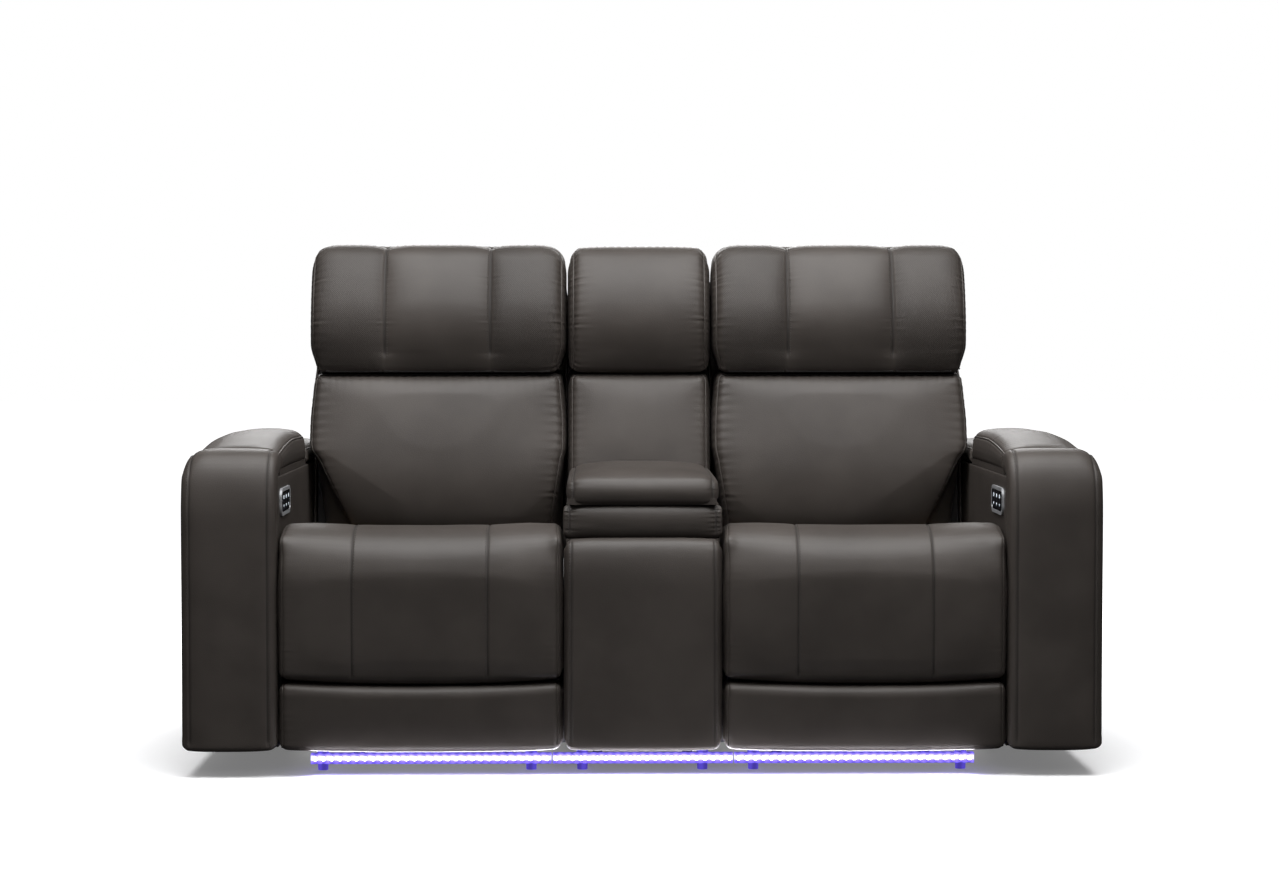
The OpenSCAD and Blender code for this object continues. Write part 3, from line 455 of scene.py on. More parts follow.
@dataclass
class Skin:
    """A closed soft surface on a grid: rows go round the outline, columns across."""

    points: Array
    u: Array
    s: Array
    length: float
    crease: Array = field(init=False)
    normals: Array = field(init=False)

    def __post_init__(self) -> None:
        """Start with no painted seam shade, and find the normals."""
        self.crease = np.zeros(self.points.shape[:2])
        self.turn()

    def turn(self) -> None:
        """Normals: the step round crossed with the step across."""
        run = np.roll(self.points, -1, 0) - np.roll(self.points, 1, 0)
        across = np.gradient(self.points, axis=1)
        self.normals = unit_rows(np.cross(run, across))

    def push(self, depth: Array) -> None:
        """Move the surface outwards by a depth on the grid."""
        self.points = self.points + self.normals * depth[..., None]
        self.turn()

    def at(self, path: Array) -> tuple[Array, Array]:
        """Points and normals at rows of u and s, taken between the grid's points."""
        at = np.append(self.u, self.length)
        rows = np.interp(np.mod(path[:, 0], self.length), at, np.arange(len(self.u) + 1))
        columns = np.interp(path[:, 1], self.s, np.arange(len(self.s)))
        i, j = np.floor(rows).astype(int), np.minimum(np.floor(columns).astype(int), len(self.s) - 2)
        fi, fj = (rows - i)[:, None], (columns - j)[:, None]
        i, k = i % len(self.u), (i + 1) % len(self.u)

        def mix(v: Array) -> Array:
            """Bilinear value of a grid at the places."""
            low = v[i, j] * (1 - fj) + v[i, j + 1] * fj
            high = v[k, j] * (1 - fj) + v[k, j + 1] * fj
            return low * (1 - fi) + high * fi

        return mix(self.points), unit_rows(mix(self.normals))

    def build(self, name: str, marks: dict[str, Array] | None = None) -> bpy.types.Object:
        """Make the surface an object with its own coordinates as UV, in metres."""
        rows, columns = self.points.shape[:2]
        quads = grid_quads(rows, columns, True)
        u = np.append(self.u, self.length)
        i, j = np.arange(rows)[:, None], np.arange(columns - 1)[None, :]
        low, high = u[i] + 0 * j, u[i + 1] + 0 * j
        left, right = self.s[j] + 0 * i, self.s[j + 1] + 0 * i
        uv = np.stack([np.stack([low, high, high, low], -1), np.stack([left, left, right, right], -1)], -1)
        ring = np.arange(rows) * columns
        pot = MeshPot()
        pot.add(self.points, quads, [ring[::-1], ring + columns - 1])
        # The seam mask goes out as a point attribute; the leather paints shade along the seams from it.
        return pot.build(name, uv * MM, {"crease": self.crease, **(marks or {})})


def cloth_swell(points: Array, free: Array, pressure: float) -> Array:
    """Blow a closed grid up as cloth and return how far each point moved.

    Args:
        points: The grid, in millimetres.
        free: Share of freedom at each point; points with little of it are held.
        pressure: Air pressure inside.

    Returns:
        Movement of each grid point, in millimetres.
    """
    rows, columns = points.shape[:2]
    ring = np.arange(rows) * columns
    pot = MeshPot()
    pot.add(points, grid_quads(rows, columns, True), [ring[::-1], ring + columns - 1])
    trial = pot.build("swell_trial")
    held = trial.vertex_groups.new(name="held")
    held.add(np.flatnonzero(free.ravel() < HELD_UNDER).tolist(), 1.0, "REPLACE")
    cloth = trial.modifiers.new("swell", "CLOTH")
    st = cloth.settings
    leather = {
        "quality": 4, "mass": 0.3, "tension_stiffness": 18.0, "compression_stiffness": 18.0,
        "shear_stiffness": 6.0, "bending_stiffness": 1.5, "air_damping": 5.0, "use_pressure": True,
        "uniform_pressure_force": pressure, "vertex_group_mass": "held",
    }
    for key, value in leather.items():
        setattr(st, key, value)
    st.effector_weights.gravity = 0.0
    cloth.collision_settings.use_collision = False
    cloth.point_cache.frame_start = 1
    cloth.point_cache.frame_end = CLOTH_FRAMES
    for step in range(1, CLOTH_FRAMES + 1):
        bpy.context.scene.frame_set(step)
    done = trial.evaluated_get(bpy.context.evaluated_depsgraph_get()).data
    co = np.zeros(rows * columns * 3, np.float32)
    done.vertices.foreach_get("co", co)
    mesh = trial.data
    bpy.data.objects.remove(trial)
    bpy.data.meshes.remove(mesh)
    bpy.context.scene.frame_set(1)
    moved = co.reshape(rows, columns, 3).astype(float) / MM
    moved[..., 1] -= FRONT_MM
    return moved - points


@dataclass
class Pillow:
    """A padded piece: a side outline carried across the width, drawn in at both sides.

    Attributes:
        outline: The side outline.
        half: Half the width.
        roll: Width over which the side edge turns.
        draw: How far the outline draws in there, towards the spine.
        puff: Height that stuffing gives each panel between its seams.
        dome: Bulge of the side faces.
        rest: Direction of the face that lies on its support.
        lines: Distances of straight channels from the middle.
        holds: Lengths round the outline at which a panel ends.
        waves: Height of the leather's slow waves.
        bend: Moves the surface's points; it is given them and the side's sign.
        pressure: Air pressure of the cloth run; at 0 the stuffing is the crown alone.
        cap_share: Share of the way to the spine at which the side faces end.
    """

    outline: Outline
    half: float
    roll: float
    draw: float
    puff: float
    dome: float = 3.0
    rest: Pair = BACKWARDS
    lines: tuple[float, ...] = ()
    holds: tuple[float, ...] = ()
    waves: float = 0.7
    bend: Callable[[Array, int], Array] | None = None
    pressure: float = 0.0
    cap_share: float = 0.94
    _relief: tuple[Array, Array, Array] | None = field(default=None, init=False)

    def __post_init__(self) -> None:
        """Lengths across: the flat, the turned edge, and the side face."""
        self.reach = np.linalg.norm(self.outline.core - self.outline.line, axis=1)
        self.flat = self.half - self.roll
        self.arc = math.pi / 2 * math.sqrt((self.roll**2 + self.draw**2) / 2)
        self.side = max(8.0, float(np.mean(self.reach)) - 0.6 * self.draw)
        self.end = self.flat + self.arc + self.side

    def edge(self, share: float) -> float:
        """Place across at a share of the turned edge."""
        return self.flat + share * self.arc

    def hold(self, *spots: Pair) -> None:
        """End the panels at the outline's points nearest to these depths and heights."""
        self.holds = tuple(self.outline.near(*spot) for spot in spots)

    def surface(self, u: Array, s: Array) -> Array:
        """The stuffed shape without puff: outline point + (spine - outline) x share.

        Over the turned edge x follows a sine and the inset 1 - cosine of the same angle;
        over the side face the share runs on to the spine while x bulges a little.
        """
        line, core = (self.outline.pick(v, u)[:, None] for v in (self.outline.line, self.outline.core))
        reach = np.linalg.norm(core - line, axis=-1)
        a = np.abs(s)
        angle = np.clip((a - self.flat) / self.arc, 0.0, 1.0) * np.pi / 2
        face = np.clip((a - self.flat - self.arc) / self.side, 0.0, 1.0)
        x = np.minimum(a, self.flat) + self.roll * np.sin(angle) + self.dome * np.sin(face * np.pi / 2)
        drawn = np.minimum(self.draw, 0.62 * reach)
        inset = drawn * (1 - np.cos(angle))[None] + (self.cap_share * reach - drawn) * face[None]
        flat = line + (core - line) * (inset / reach)[..., None]
        return np.stack([np.broadcast_to(np.sign(s) * x, inset.shape), flat[..., 0], flat[..., 1]], -1)

    def free(self, u: Array, s: Array) -> Array:
        """Share of freedom: 1 amid a panel, 0 on seams, side faces and what rests."""
        return self._shares(u, s, 3.0, 3.0)

    def crown(self, u: Array, s: Array) -> Array:
        """Height of even stuffing along the outward direction: a parabola round a panel."""
        return self.puff * self._shares(u, s, 2.0, 3.4)

    def _shares(self, u: Array, s: Array, round_power: float, across_power: float) -> Array:
        """Product of the panel curves round and across, 0 on the face that rests.

        A panel from a to b gives 1 - |2t - 1|^power with t = (s - a)/(b - a).
        """
        edge = self.edge(0.45)
        marks = [-edge, *[-x for x in sorted(self.lines, reverse=True)], *sorted(self.lines), edge]
        span = self._panel(s, np.array(marks), across_power)
        out = self.outline.pick(self.outline.out, u) @ np.array(self.rest)
        face = 1.0 - smooth((out - 0.25) / 0.45)
        if len(self.holds) > 1:
            first = self.holds[0]
            round_u = np.mod(u - first, self.outline.length)
            marks = [*[np.mod(h - first, self.outline.length) for h in self.holds], self.outline.length]
            face = face * self._panel(round_u, np.array(marks), round_power)
        return face[:, None] * span[None, :]

    @staticmethod
    def _panel(t: Array, marks: Array, power: float) -> Array:
        """1 - |2t - 1|^power within each interval between rising marks, 0 outside them."""
        k = np.clip(np.searchsorted(marks, t, side="right") - 1, 0, len(marks) - 2)
        share = (t - marks[k]) / (marks[k + 1] - marks[k])
        return np.where((share < 0) | (share > 1), 0.0, 1.0 - np.abs(2 * share - 1) ** power)

    def relief(self, u: Array, s: Array, mirrored: bool) -> Array:
        """Movement by the stuffing on the grid: the crown, and the cloth run's on top of it."""
        out = self.outline.pick(self.outline.out, u)
        lift = self.crown(u, s)[..., None] * np.insert(out, 0, 0.0, 1)[:, None]
        if not self.pressure:
            return lift
        if self._relief is None:
            self._relief = self._cloth()
        cu, cs, moved = self._relief
        if mirrored:
            moved = moved[:, ::-1] * np.array([-1.0, 1.0, 1.0])
        rows = np.interp(u, np.append(cu, self.outline.length), np.arange(len(cu) + 1))
        columns = np.interp(s, cs, np.arange(len(cs)))
        i, j = np.floor(rows).astype(int), np.minimum(np.floor(columns).astype(int), len(cs) - 2)
        fi, fj = (rows - i)[:, None, None], (columns - j)[None, :, None]
        low, high = moved[i % len(cu)], moved[(i + 1) % len(cu)]
        row = low * (1 - fi) + high * fi
        return CROWN_SHARE * lift + row[:, j] * (1 - fj) + row[:, j + 1] * fj

    def _cloth(self) -> tuple[Array, Array, Array]:
        """Run the cloth on a coarse grid that starts a little less full than the crown."""
        u = graded(0.0, self.outline.length, 8.0, self.outline.bends, 1.5)[:-1]
        s = graded(-self.end, self.end, 8.5, [], 1.0)
        free = self.free(u, s)
        start = self.surface(u, s)
        out = self.outline.pick(self.outline.out, u)
        start[..., 1:] += CROWN_SHARE * self.crown(u, s)[..., None] * out[:, None]
        moved = cloth_swell(start, free, self.pressure)
        for _ in range(2):
            moved = ring_mean(moved, 1)
            moved[:, 1:-1] = (moved[:, :-2] + moved[:, 1:-1] + moved[:, 2:]) / 3
        size = np.maximum(np.linalg.norm(moved, axis=-1), 1e-6)
        held = np.minimum(1.0, CLOTH_SHARE * self.puff / size) * smooth(free * 4)
        return u, s, moved * held[..., None]


def slow_waves(u: Array, s: Array, seed: float) -> Array:
    """Slow unevenness of stretched leather: six sines of turned directions, summed.

    Args:
        u: Lengths round.
        s: Places across.
        seed: Shifts directions and phases.

    Returns:
        Values about from -1 to 1 on the grid.
    """
    total = np.zeros((len(u), len(s)))
    for k in range(6):
        turn = 2.4 * k + 1.3 * seed
        wave = 95.0 + 31.0 * k
        run = (u[:, None] * math.cos(turn) + s[None, :] * math.sin(turn)) / wave
        total += np.sin(2 * np.pi * run + 1.9 * k * k + 3.1 * seed)
    return total / 3.4


@dataclass
class Cushion:
    """A pillow with its seams, ready to be made for either side. pitch is its grid's spacing."""

    pillow: Pillow
    pitch: float = 4.6
    seams: list[Seam] = field(default_factory=list)

    def skin(self, side: Side, centre: float, seed: float) -> Skin:
        """Work out the final surface.

        Args:
            side: Whose side it is for; the right one is the mirror of the left.
            centre: X of the cushion's middle.
            seed: Shifts folds and waves.

        Returns:
            The surface with its seams pressed in.
        """
        p = self.pillow
        marks_u = list(p.outline.bends)
        marks_s = set()
        for seam in self.seams:
            round_u, across = seam.path.T
            marks_s |= {float(across.min()), float(across.max())}
            if np.ptp(across) > 30.0:
                marks_u.append(float(np.mod(round_u.max(), p.outline.length)))
        u = graded(0.0, p.outline.length, self.pitch, marks_u)[:-1]
        s = graded(-p.end, p.end, self.pitch, sorted(marks_s))
        points = p.surface(u, s) + p.relief(u, s, side is Side.RIGHT)
        if p.bend is not None:
            points = p.bend(points, side.value)
        points = points + np.array([centre, 0.0, 0.0])
        skin = Skin(points, u, s, p.outline.length)
        wave = slow_waves(u, s, seed) * p.waves * smooth(4 * p.free(u, s))
        # Painted seam shade: the largest of the seams' masks, kept for the leather's colour.
        crease = np.zeros_like(wave)
        for number, seam in enumerate(self.seams):
            depth, mask = seam.press(u, s, p.outline.length, seed + 1.7 * number)
            wave -= depth
            crease = np.maximum(crease, mask)
        skin.push(wave)
        skin.crease = crease
        return skin

    @property
    def paths(self) -> list[Array]:
        """The seams' paths, in the order in which the seams were added."""
        return [seam.path for seam in self.seams]

    def _stretch(self, start: Pair, end: Pair) -> Pair:
        """Lengths u of two points of the outline, the second one further on."""
        outline = self.pillow.outline
        a, b = outline.near(*start), outline.near(*end)
        return a, b + outline.length if b < a else b

    def _seam(self, path: Array, **shape: float) -> Array:
        """Add a seam of the given shape and return its path."""
        self.seams.append(Seam(path, **shape))
        return path

    def pair(self, s: float, start: Pair, end: Pair, **shape: float) -> list[Array]:
        """Add seams at -s and s across, from one point of the outline on to another."""
        a, b = self._stretch(start, end)
        lines = [np.array([[a, place], [b, place]]) for place in (-s, s)]
        return [self._seam(resample(line, 12.0), **shape) for line in lines]

    def border(self, s: float, low: Pair, high: Pair, corner: float, **shape: float) -> Array:
        """Add a seam up one side of the front face, across its top and down the other side."""
        a, b = self._stretch(high, low)
        return self._seam(rounded_path([(b, -s), (a, -s), (a, s), (b, s)], corner, 6.0), **shape)


def shifted(path: Array, offset: float, step: float) -> Array:
    """A path beside another one, to its left by an offset, evenly resampled."""
    path = resample(path, step)
    run = unit_rows(np.gradient(path, axis=0))
    return path + offset * np.column_stack([-run[:, 1], run[:, 0]])


def sew(pot: MeshPot, skin: Skin, path: Array, offset: float, pitch: float = 6.2,
        length: float = 4.2, radius: float = 0.62) -> None:
    """Add a row of thread stitches: each a six-sided bead that tapers at its ends.

    Args:
        pot: Where the stitches go.
        skin: The surface they lie on.
        path: Rows of u and s.
        offset: Distance of the row from the path.
        pitch: Spacing of the stitches.
        length: Length of one stitch.
        radius: Radius of the thread.
    """
    centre, normal = skin.at(shifted(path, offset, pitch)[1:-1])
    run = unit_rows(np.gradient(centre, axis=0))
    normal = unit_rows(normal - (normal * run).sum(-1, keepdims=True) * run)
    b = np.cross(run, normal)
    along = np.array([-0.5, -0.3, 0.3, 0.5]) * length
    size = np.array([0.35, 1.0, 1.0, 0.35]) * radius
    sink = np.array([-0.6, 0.25, 0.25, -0.6]) * radius
    a = np.arange(6)[None, None, :, None] * np.pi / 3
    centre, run, normal, b = (v[:, None, None] for v in (centre, run, normal, b))
    along, size, sink = (v[None, :, None, None] for v in (along, size, sink))
    ring = np.cos(a) * normal + np.sin(a) * b
    pot.add_copies(centre + along * run + sink * normal + size * ring)


def sew_pair(pot: MeshPot, skin: Skin, paths: Sequence[Array], offset: float, *thread: float) -> None:
    """Add stitches beside two mirrored paths, at -offset and at offset; thread goes on to sew."""
    for path, way in zip(paths, (-1, 1)):
        sew(pot, skin, path, way * offset, *thread)


def welt(pot: MeshPot, skin: Skin, path: Array, radius: float, lift: float = 0.35) -> None:
    """Add a round piping cord along a path of a surface, half sunk in its groove."""
    centre, normal = skin.at(resample(path, 4.0))
    pot.add(*tube(centre + normal * radius * lift, normal, radius, False))


# Finishes


class Graph:
    """Short hand for making and joining shader nodes."""

    def __init__(self, tree: bpy.types.NodeTree) -> None:
        """Hold a node tree."""
        self.tree = tree

    def node(self, kind: str, inputs: dict | None = None, **settings: object) -> bpy.types.Node:
        """A new node with its settings, and its inputs set or joined.

        Args:
            kind: Blender's name of the node type, without ShaderNode.
            inputs: A value or an output socket for each input, by name or number.
            settings: The node's own properties.

        Returns:
            The node.
        """
        made = self.tree.nodes.new("ShaderNode" + kind)
        for key, value in settings.items():
            setattr(made, key, value)
        self.feed(made, inputs or {})
        return made

    def feed(self, node: bpy.types.Node, inputs: dict) -> None:
        """Set each input of a node to a value, or join it to an output socket."""
        for key, value in inputs.items():
            if isinstance(value, bpy.types.NodeSocket):
                self.tree.links.new(value, node.inputs[key])
            else:
                node.inputs[key].default_value = value

    def math(self, operation: str, a: object, b: object = 0.0, c: object = 0.0) -> bpy.types.NodeSocket:
        """The result of one Math node."""
        return self.node("Math", {0: a, 1: b, 2: c}, operation=operation).outputs[0]

    def mix(self, share: object, a: object, b: object) -> bpy.types.NodeSocket:
        """A colour between a and b."""
        return self.node("Mix", {0: share, 6: a, 7: b}, data_type="RGBA").outputs[2]

    def noise(self, place: object, scale: object, **further: float) -> bpy.types.NodeSocket:
        """The value of a noise texture; further inputs are named in lower case."""
        inputs = {key.title(): value for key, value in further.items()}
        return self.node("TexNoise", {"Vector": place, "Scale": scale, **inputs}).outputs["Fac"]

    def bump(self, strength: float, distance: float, height: object) -> bpy.types.NodeSocket:
        """The normal that a height gives."""
        return self.node("Bump", {"Strength": strength, "Distance": distance, "Height": height}).outputs[0]

    def spread(
        self, value: object, low: float, high: float, to_low: float = 0.0, to_high: float = 1.0
    ) -> bpy.types.NodeSocket:
        """A value carried smoothly from one range to another."""
        inputs = {0: value, 1: low, 2: high, 3: to_low, 4: to_high}
        return self.node("MapRange", inputs, interpolation_type="SMOOTHSTEP").outputs[0]


def new_group(
    name: str, inputs: dict[str, float], outputs: Sequence[str]
) -> tuple[Graph, bpy.types.Node, bpy.types.Node]:
    """An empty shader node group with named number sockets.

    Args:
        name: The group's name.
        inputs: Starting value of each input.
        outputs: Names of the outputs.

    Returns:
        Its graph, its input node and its output node.
    """
    tree = bpy.data.node_groups.new(name, "ShaderNodeTree")
    for key, value in inputs.items():
        tree.interface.new_socket(key, in_out="INPUT", socket_type="NodeSocketFloat").default_value = value
    for key in outputs:
        tree.interface.new_socket(key, in_out="OUTPUT", socket_type="NodeSocketFloat")
    return Graph(tree), tree.nodes.new("NodeGroupInput"), tree.nodes.new("NodeGroupOutput")


def hide_grain_group() -> bpy.types.NodeTree:
    """Leather grain: pebbles, fine pores and slow patches of tone, in object space."""
    scales = {"Pebble Scale": 620.0, "Patch Scale": 5.0}
    g, start, end = new_group("HideGrain", scales, ("Height", "Tone", "Pore"))
    place = g.node("TexCoord").outputs["Object"]
    bent = g.node("TexNoise", {"Vector": place, "Scale": 90.0, "Detail": 2.0}).outputs["Color"]
    shift = g.node("VectorMath", {0: bent, 3: 0.004}, operation="SCALE").outputs[0]
    near = g.node("VectorMath", {0: place, 1: shift}).outputs[0]
    cells = g.node("TexVoronoi", {"Vector": near, "Scale": start.outputs["Pebble Scale"]}, feature="F1")
    pore = g.noise(place, 1500.0, detail=2.0)
    patch = g.noise(place, start.outputs["Patch Scale"], detail=3.0, roughness=0.55)
    round_top = g.spread(cells.outputs["Distance"], 0.0, 0.75, 1.0, 0.0)
    height = g.math("ADD", g.math("MULTIPLY", round_top, 0.75), g.math("MULTIPLY", pore, 0.25))
    g.feed(end, {"Height": height, "Tone": patch, "Pore": pore})
    return g.tree


def perforation_group() -> bpy.types.NodeTree:
    """Staggered round holes on the piece's own UV: two square grids, one shifted by half."""
    g, start, end = new_group("Perforation", {"Pitch": 0.0042, "Hole": 0.24}, ("Hole Mask",))
    uv = g.node("UVMap", uv_map="UVMap").outputs[0]
    both = []
    for shift in (0.0, 0.5):
        cell = g.node("SeparateXYZ", {0: uv})
        squares = []
        for axis in (0, 1):
            at = g.math("ADD", g.math("DIVIDE", cell.outputs[axis], start.outputs["Pitch"]), shift)
            squares.append(g.math("POWER", g.math("SUBTRACT", g.math("FRACT", at), 0.5), 2.0))
        far = g.math("SQRT", g.math("ADD", *squares))
        edge = g.math("SUBTRACT", start.outputs["Hole"], far)
        both.append(g.math("MULTIPLY", edge, 14.0))
    g.feed(end, {"Hole Mask": g.node("Clamp", {0: g.math("MAXIMUM", *both)}).outputs[0]})
    return g.tree


def speckle_group() -> bpy.types.NodeTree:
    """Fine speckle and slow patches for painted, moulded and plated finishes."""
    g, start, end = new_group("Speckle", {"Fine Scale": 700.0, "Patch Scale": 14.0}, ("Fine", "Patch"))
    place = g.node("TexCoord").outputs["Object"]
    for key, detail in (("Fine", 2.0), ("Patch", 4.0)):
        g.feed(end, {key: g.noise(place, start.outputs[f"{key} Scale"], detail=detail)})
    return g.tree


GROUPS: dict[str, bpy.types.NodeTree] = {}


def placed(g: Graph, maker: Callable[[], bpy.types.NodeTree], **values: float) -> bpy.types.Node:
    """Place a shared group in a graph, made on first use, with its inputs set."""
    if maker.__name__ not in GROUPS:
        GROUPS[maker.__name__] = maker()
    made = g.node("Group", node_tree=GROUPS[maker.__name__])
    for key, value in values.items():
        made.inputs[key.replace("_", " ")].default_value = value
    return made


def new_material(name: str) -> tuple[bpy.types.Material, Graph, bpy.types.Node]:
    """A material with its graph and its Principled shader."""
    made = bpy.data.materials.new(name)
    made.use_nodes = True
    return made, Graph(made.node_tree), made.node_tree.nodes["Principled BSDF"]


@dataclass(frozen=True)
class Leather:
    """Coated upholstery leather, with an optional perforated field."""

    name: str
    dark: tuple[float, float, float] = (0.036, 0.0300, 0.0262)
    light: tuple[float, float, float] = (0.050, 0.0422, 0.0372)
    rough: float = 0.5
    grain: float = 0.00022

    def material(self) -> bpy.types.Material:
        """Make the material: toned base, painted shade along the seams and in the holes, grain and holes as
        bump.
        """
        made, g, shader = new_material(self.name)
        grain = placed(g, hide_grain_group)
        holes = placed(g, perforation_group)
        crease = g.node("Attribute", attribute_name="crease").outputs["Fac"]
        perforated = g.node("Attribute", attribute_name="perforated").outputs["Fac"]
        hole = g.math("MULTIPLY", holes.outputs[0], perforated)
        colour = g.mix(g.spread(grain.outputs["Tone"], 0.3, 0.7), (*self.dark, 1.0), (*self.light, 1.0))
        # Painted shade: the seam mask darkens the base colour along the seams.
        colour = g.mix(g.math("MULTIPLY", crease, 0.75), colour, (0.006, 0.005, 0.0045, 1.0))
        # Painted shade: the perforation holes are darkened as if shaded inside.
        colour = g.mix(g.math("MULTIPLY", hole, 0.8), colour, (0.004, 0.0035, 0.003, 1.0))
        pore = g.spread(grain.outputs["Pore"], 0.3, 0.7, self.rough - 0.05, self.rough + 0.05)
        height = g.math("SUBTRACT", grain.outputs["Height"], g.math("MULTIPLY", hole, 2.5))
        g.feed(shader, {
            "Base Color": colour,
            "Roughness": g.math("ADD", pore, g.math("MULTIPLY", crease, 0.25)),
            "Normal": g.bump(0.55, self.grain, height),
            "Specular IOR Level": 0.34,
        })
        return made


@dataclass(frozen=True)
class Coated:
    """A painted, plated or moulded finish with speckle in its tone and roughness."""

    name: str
    dark: tuple[float, float, float]
    light: tuple[float, float, float]
    rough: float
    metal: float = 0.0
    fine: float = 700.0
    depth: float = 0.00008
    coat: float = 0.0

    def material(self) -> bpy.types.Material:
        """Make the material."""
        made, g, shader = new_material(self.name)
        speck = placed(g, speckle_group, Fine_Scale=self.fine).outputs
        rough = g.spread(speck["Fine"], 0.3, 0.7, max(0.02, self.rough - 0.06), self.rough + 0.06)
        tone = g.spread(speck["Patch"], 0.3, 0.7)
        g.feed(shader, {
            "Base Color": g.mix(tone, (*self.dark, 1.0), (*self.light, 1.0)),
            "Roughness": rough,
            "Normal": g.bump(0.5, self.depth, speck["Fine"]),
            "Metallic": self.metal,
            "Coat Weight": self.coat,
            "Coat Roughness": 0.08,
        })
        return made


@dataclass(frozen=True)
class Plywood:
    """Birch board: long figure along X, fine fibres and a slow change of tone."""

    name: str = "plywood"

    def material(self) -> bpy.types.Material:
        """Make the material."""
        made, g, shader = new_material(self.name)
        place = g.node("TexCoord").outputs["Object"]
        turned = g.node("Mapping", {"Vector": place, "Scale": (2.2, 26.0, 26.0)}).outputs[0]
        figure = g.noise(turned, 2.0, detail=6.0, distortion=0.9)
        fibre = g.noise(turned, 34.0, detail=3.0)
        colour = g.mix(g.spread(figure, 0.3, 0.7), (0.42, 0.27, 0.14, 1.0), (0.62, 0.45, 0.27, 1.0))
        colour = g.mix(g.spread(fibre, 0.45, 0.75, 0.0, 0.35), colour, (0.30, 0.18, 0.09, 1.0))
        rough = g.spread(fibre, 0.3, 0.7, 0.5, 0.68)
        g.feed(shader, {"Base Color": colour, "Roughness": rough, "Normal": g.bump(0.3, 0.0002, fibre)})
        return made


@dataclass(frozen=True)
class Glow:
    """A lit finish: its own colour with light that changes along the strip; on the feet this light is painted
    strip light.

    Attributes:
        name: The material's name.
        base: Its own colour.
        light: Colour of its light.
        low: Strength of the light between two beads.
        high: Strength at a bead.
        pitch: Spacing of the beads, in metres.
        rear: Depth, in metres of Y, behind which the light fades out.
        core: Height, in metres, near which the light is white.
    """

    name: str
    base: tuple[float, float, float]
    light: tuple[float, float, float]
    low: float
    high: float
    pitch: float = 0.0167
    rear: float = 10.0
    core: float = -1.0

    def material(self) -> bpy.types.Material:
        """Make the material: brightness is a cosine of X with one crest for each bead."""
        made, g, shader = new_material(self.name)
        place = g.node("SeparateXYZ", {0: g.node("TexCoord").outputs["Object"]})
        wave = g.math("COSINE", g.math("MULTIPLY", place.outputs[0], 2 * math.pi / self.pitch))
        power = g.spread(wave, -1.0, 1.0, self.low, self.high)
        power = g.math("MULTIPLY", power, g.spread(place.outputs[1], self.rear, self.rear + 0.05, 1.0, 0.0))
        off = g.math("ABSOLUTE", g.math("SUBTRACT", place.outputs[2], self.core))
        tint = g.mix(g.spread(off, 0.002, 0.0075, 1.0, 0.0), (*self.light, 1.0), (0.9, 0.88, 1.3, 1.0))
        lit = g.node("VectorMath", {0: tint, 3: power}, operation="SCALE").outputs[0]
        speck = placed(g, speckle_group)
        colour = g.mix(speck.outputs["Patch"], (*self.base, 1.0), (*[0.8 * c for c in self.base], 1.0))
        g.feed(shader, {
            "Base Color": colour, "Emission Color": lit, "Emission Strength": 1.0, "Roughness": 0.35,
        })
        return made


RECIPES = {
    "hide": Leather("dark_leather"),
    "thread": Coated("thread", (0.012, 0.010, 0.009), (0.030, 0.026, 0.023), 0.62, fine=1600.0),
    "plywood": Plywood(),
    "steel": Coated("painted_steel", (0.012, 0.012, 0.013), (0.03, 0.03, 0.032), 0.42, fine=900.0),
    "spring": Coated("spring_wire", (0.20, 0.20, 0.21), (0.32, 0.32, 0.33), 0.34, 1.0),
    "chrome": Coated("chrome", (0.72, 0.73, 0.75), (0.84, 0.85, 0.87), 0.11, 1.0, depth=0.00002),
    "plastic": Coated("black_plastic", (0.010, 0.010, 0.011), (0.022, 0.022, 0.024), 0.48, fine=1200.0),
    "gloss": Coated("gloss_panel", (0.004, 0.006, 0.012), (0.008, 0.012, 0.022), 0.12, depth=1e-5, coat=1.0),
    "rocker": Coated("rocker_plastic", (0.008, 0.009, 0.013), (0.016, 0.018, 0.026), 0.26, coat=0.5),
    "satin": Coated("satin_metal", (0.42, 0.43, 0.45), (0.52, 0.53, 0.55), 0.34, 0.45, depth=0.00002),
    "mark": Glow("rocker_mark", (0.8, 0.85, 0.9), (0.75, 0.88, 1.0), 0.35, 0.55, 0.05),
    "lens": Glow("light_lens", (0.9, 0.9, 1.0), (0.97, 0.96, 1.0), 9.0, 14.0),
    "channel": Glow("light_channel", (0.16, 0.10, 0.6), (0.15, 0.115, 0.8), 0.45, 1.25, core=0.0365),
    # Painted light: the feet glow with the strip's violet light, fading out behind the front ones.
    "foot": Glow("lit_foot", (0.02, 0.02, 0.026), (0.13, 0.09, 0.8), 0.45, 0.7, 0.02, -0.33),
    "lining": Coated("lining_felt", (0.012, 0.011, 0.011), (0.022, 0.020, 0.019), 0.85, 0.0, 1400.0, 0.0003),
}
Finishes = dict[str, bpy.types.Material]


def dress(obj: bpy.types.Object, material: bpy.types.Material) -> None:
    """Give a piece one material in every slot."""
    if not obj.data.materials:
        obj.data.materials.append(material)
    for index in range(len(obj.data.materials)):
        obj.data.materials[index] = material


# Sub-assemblies


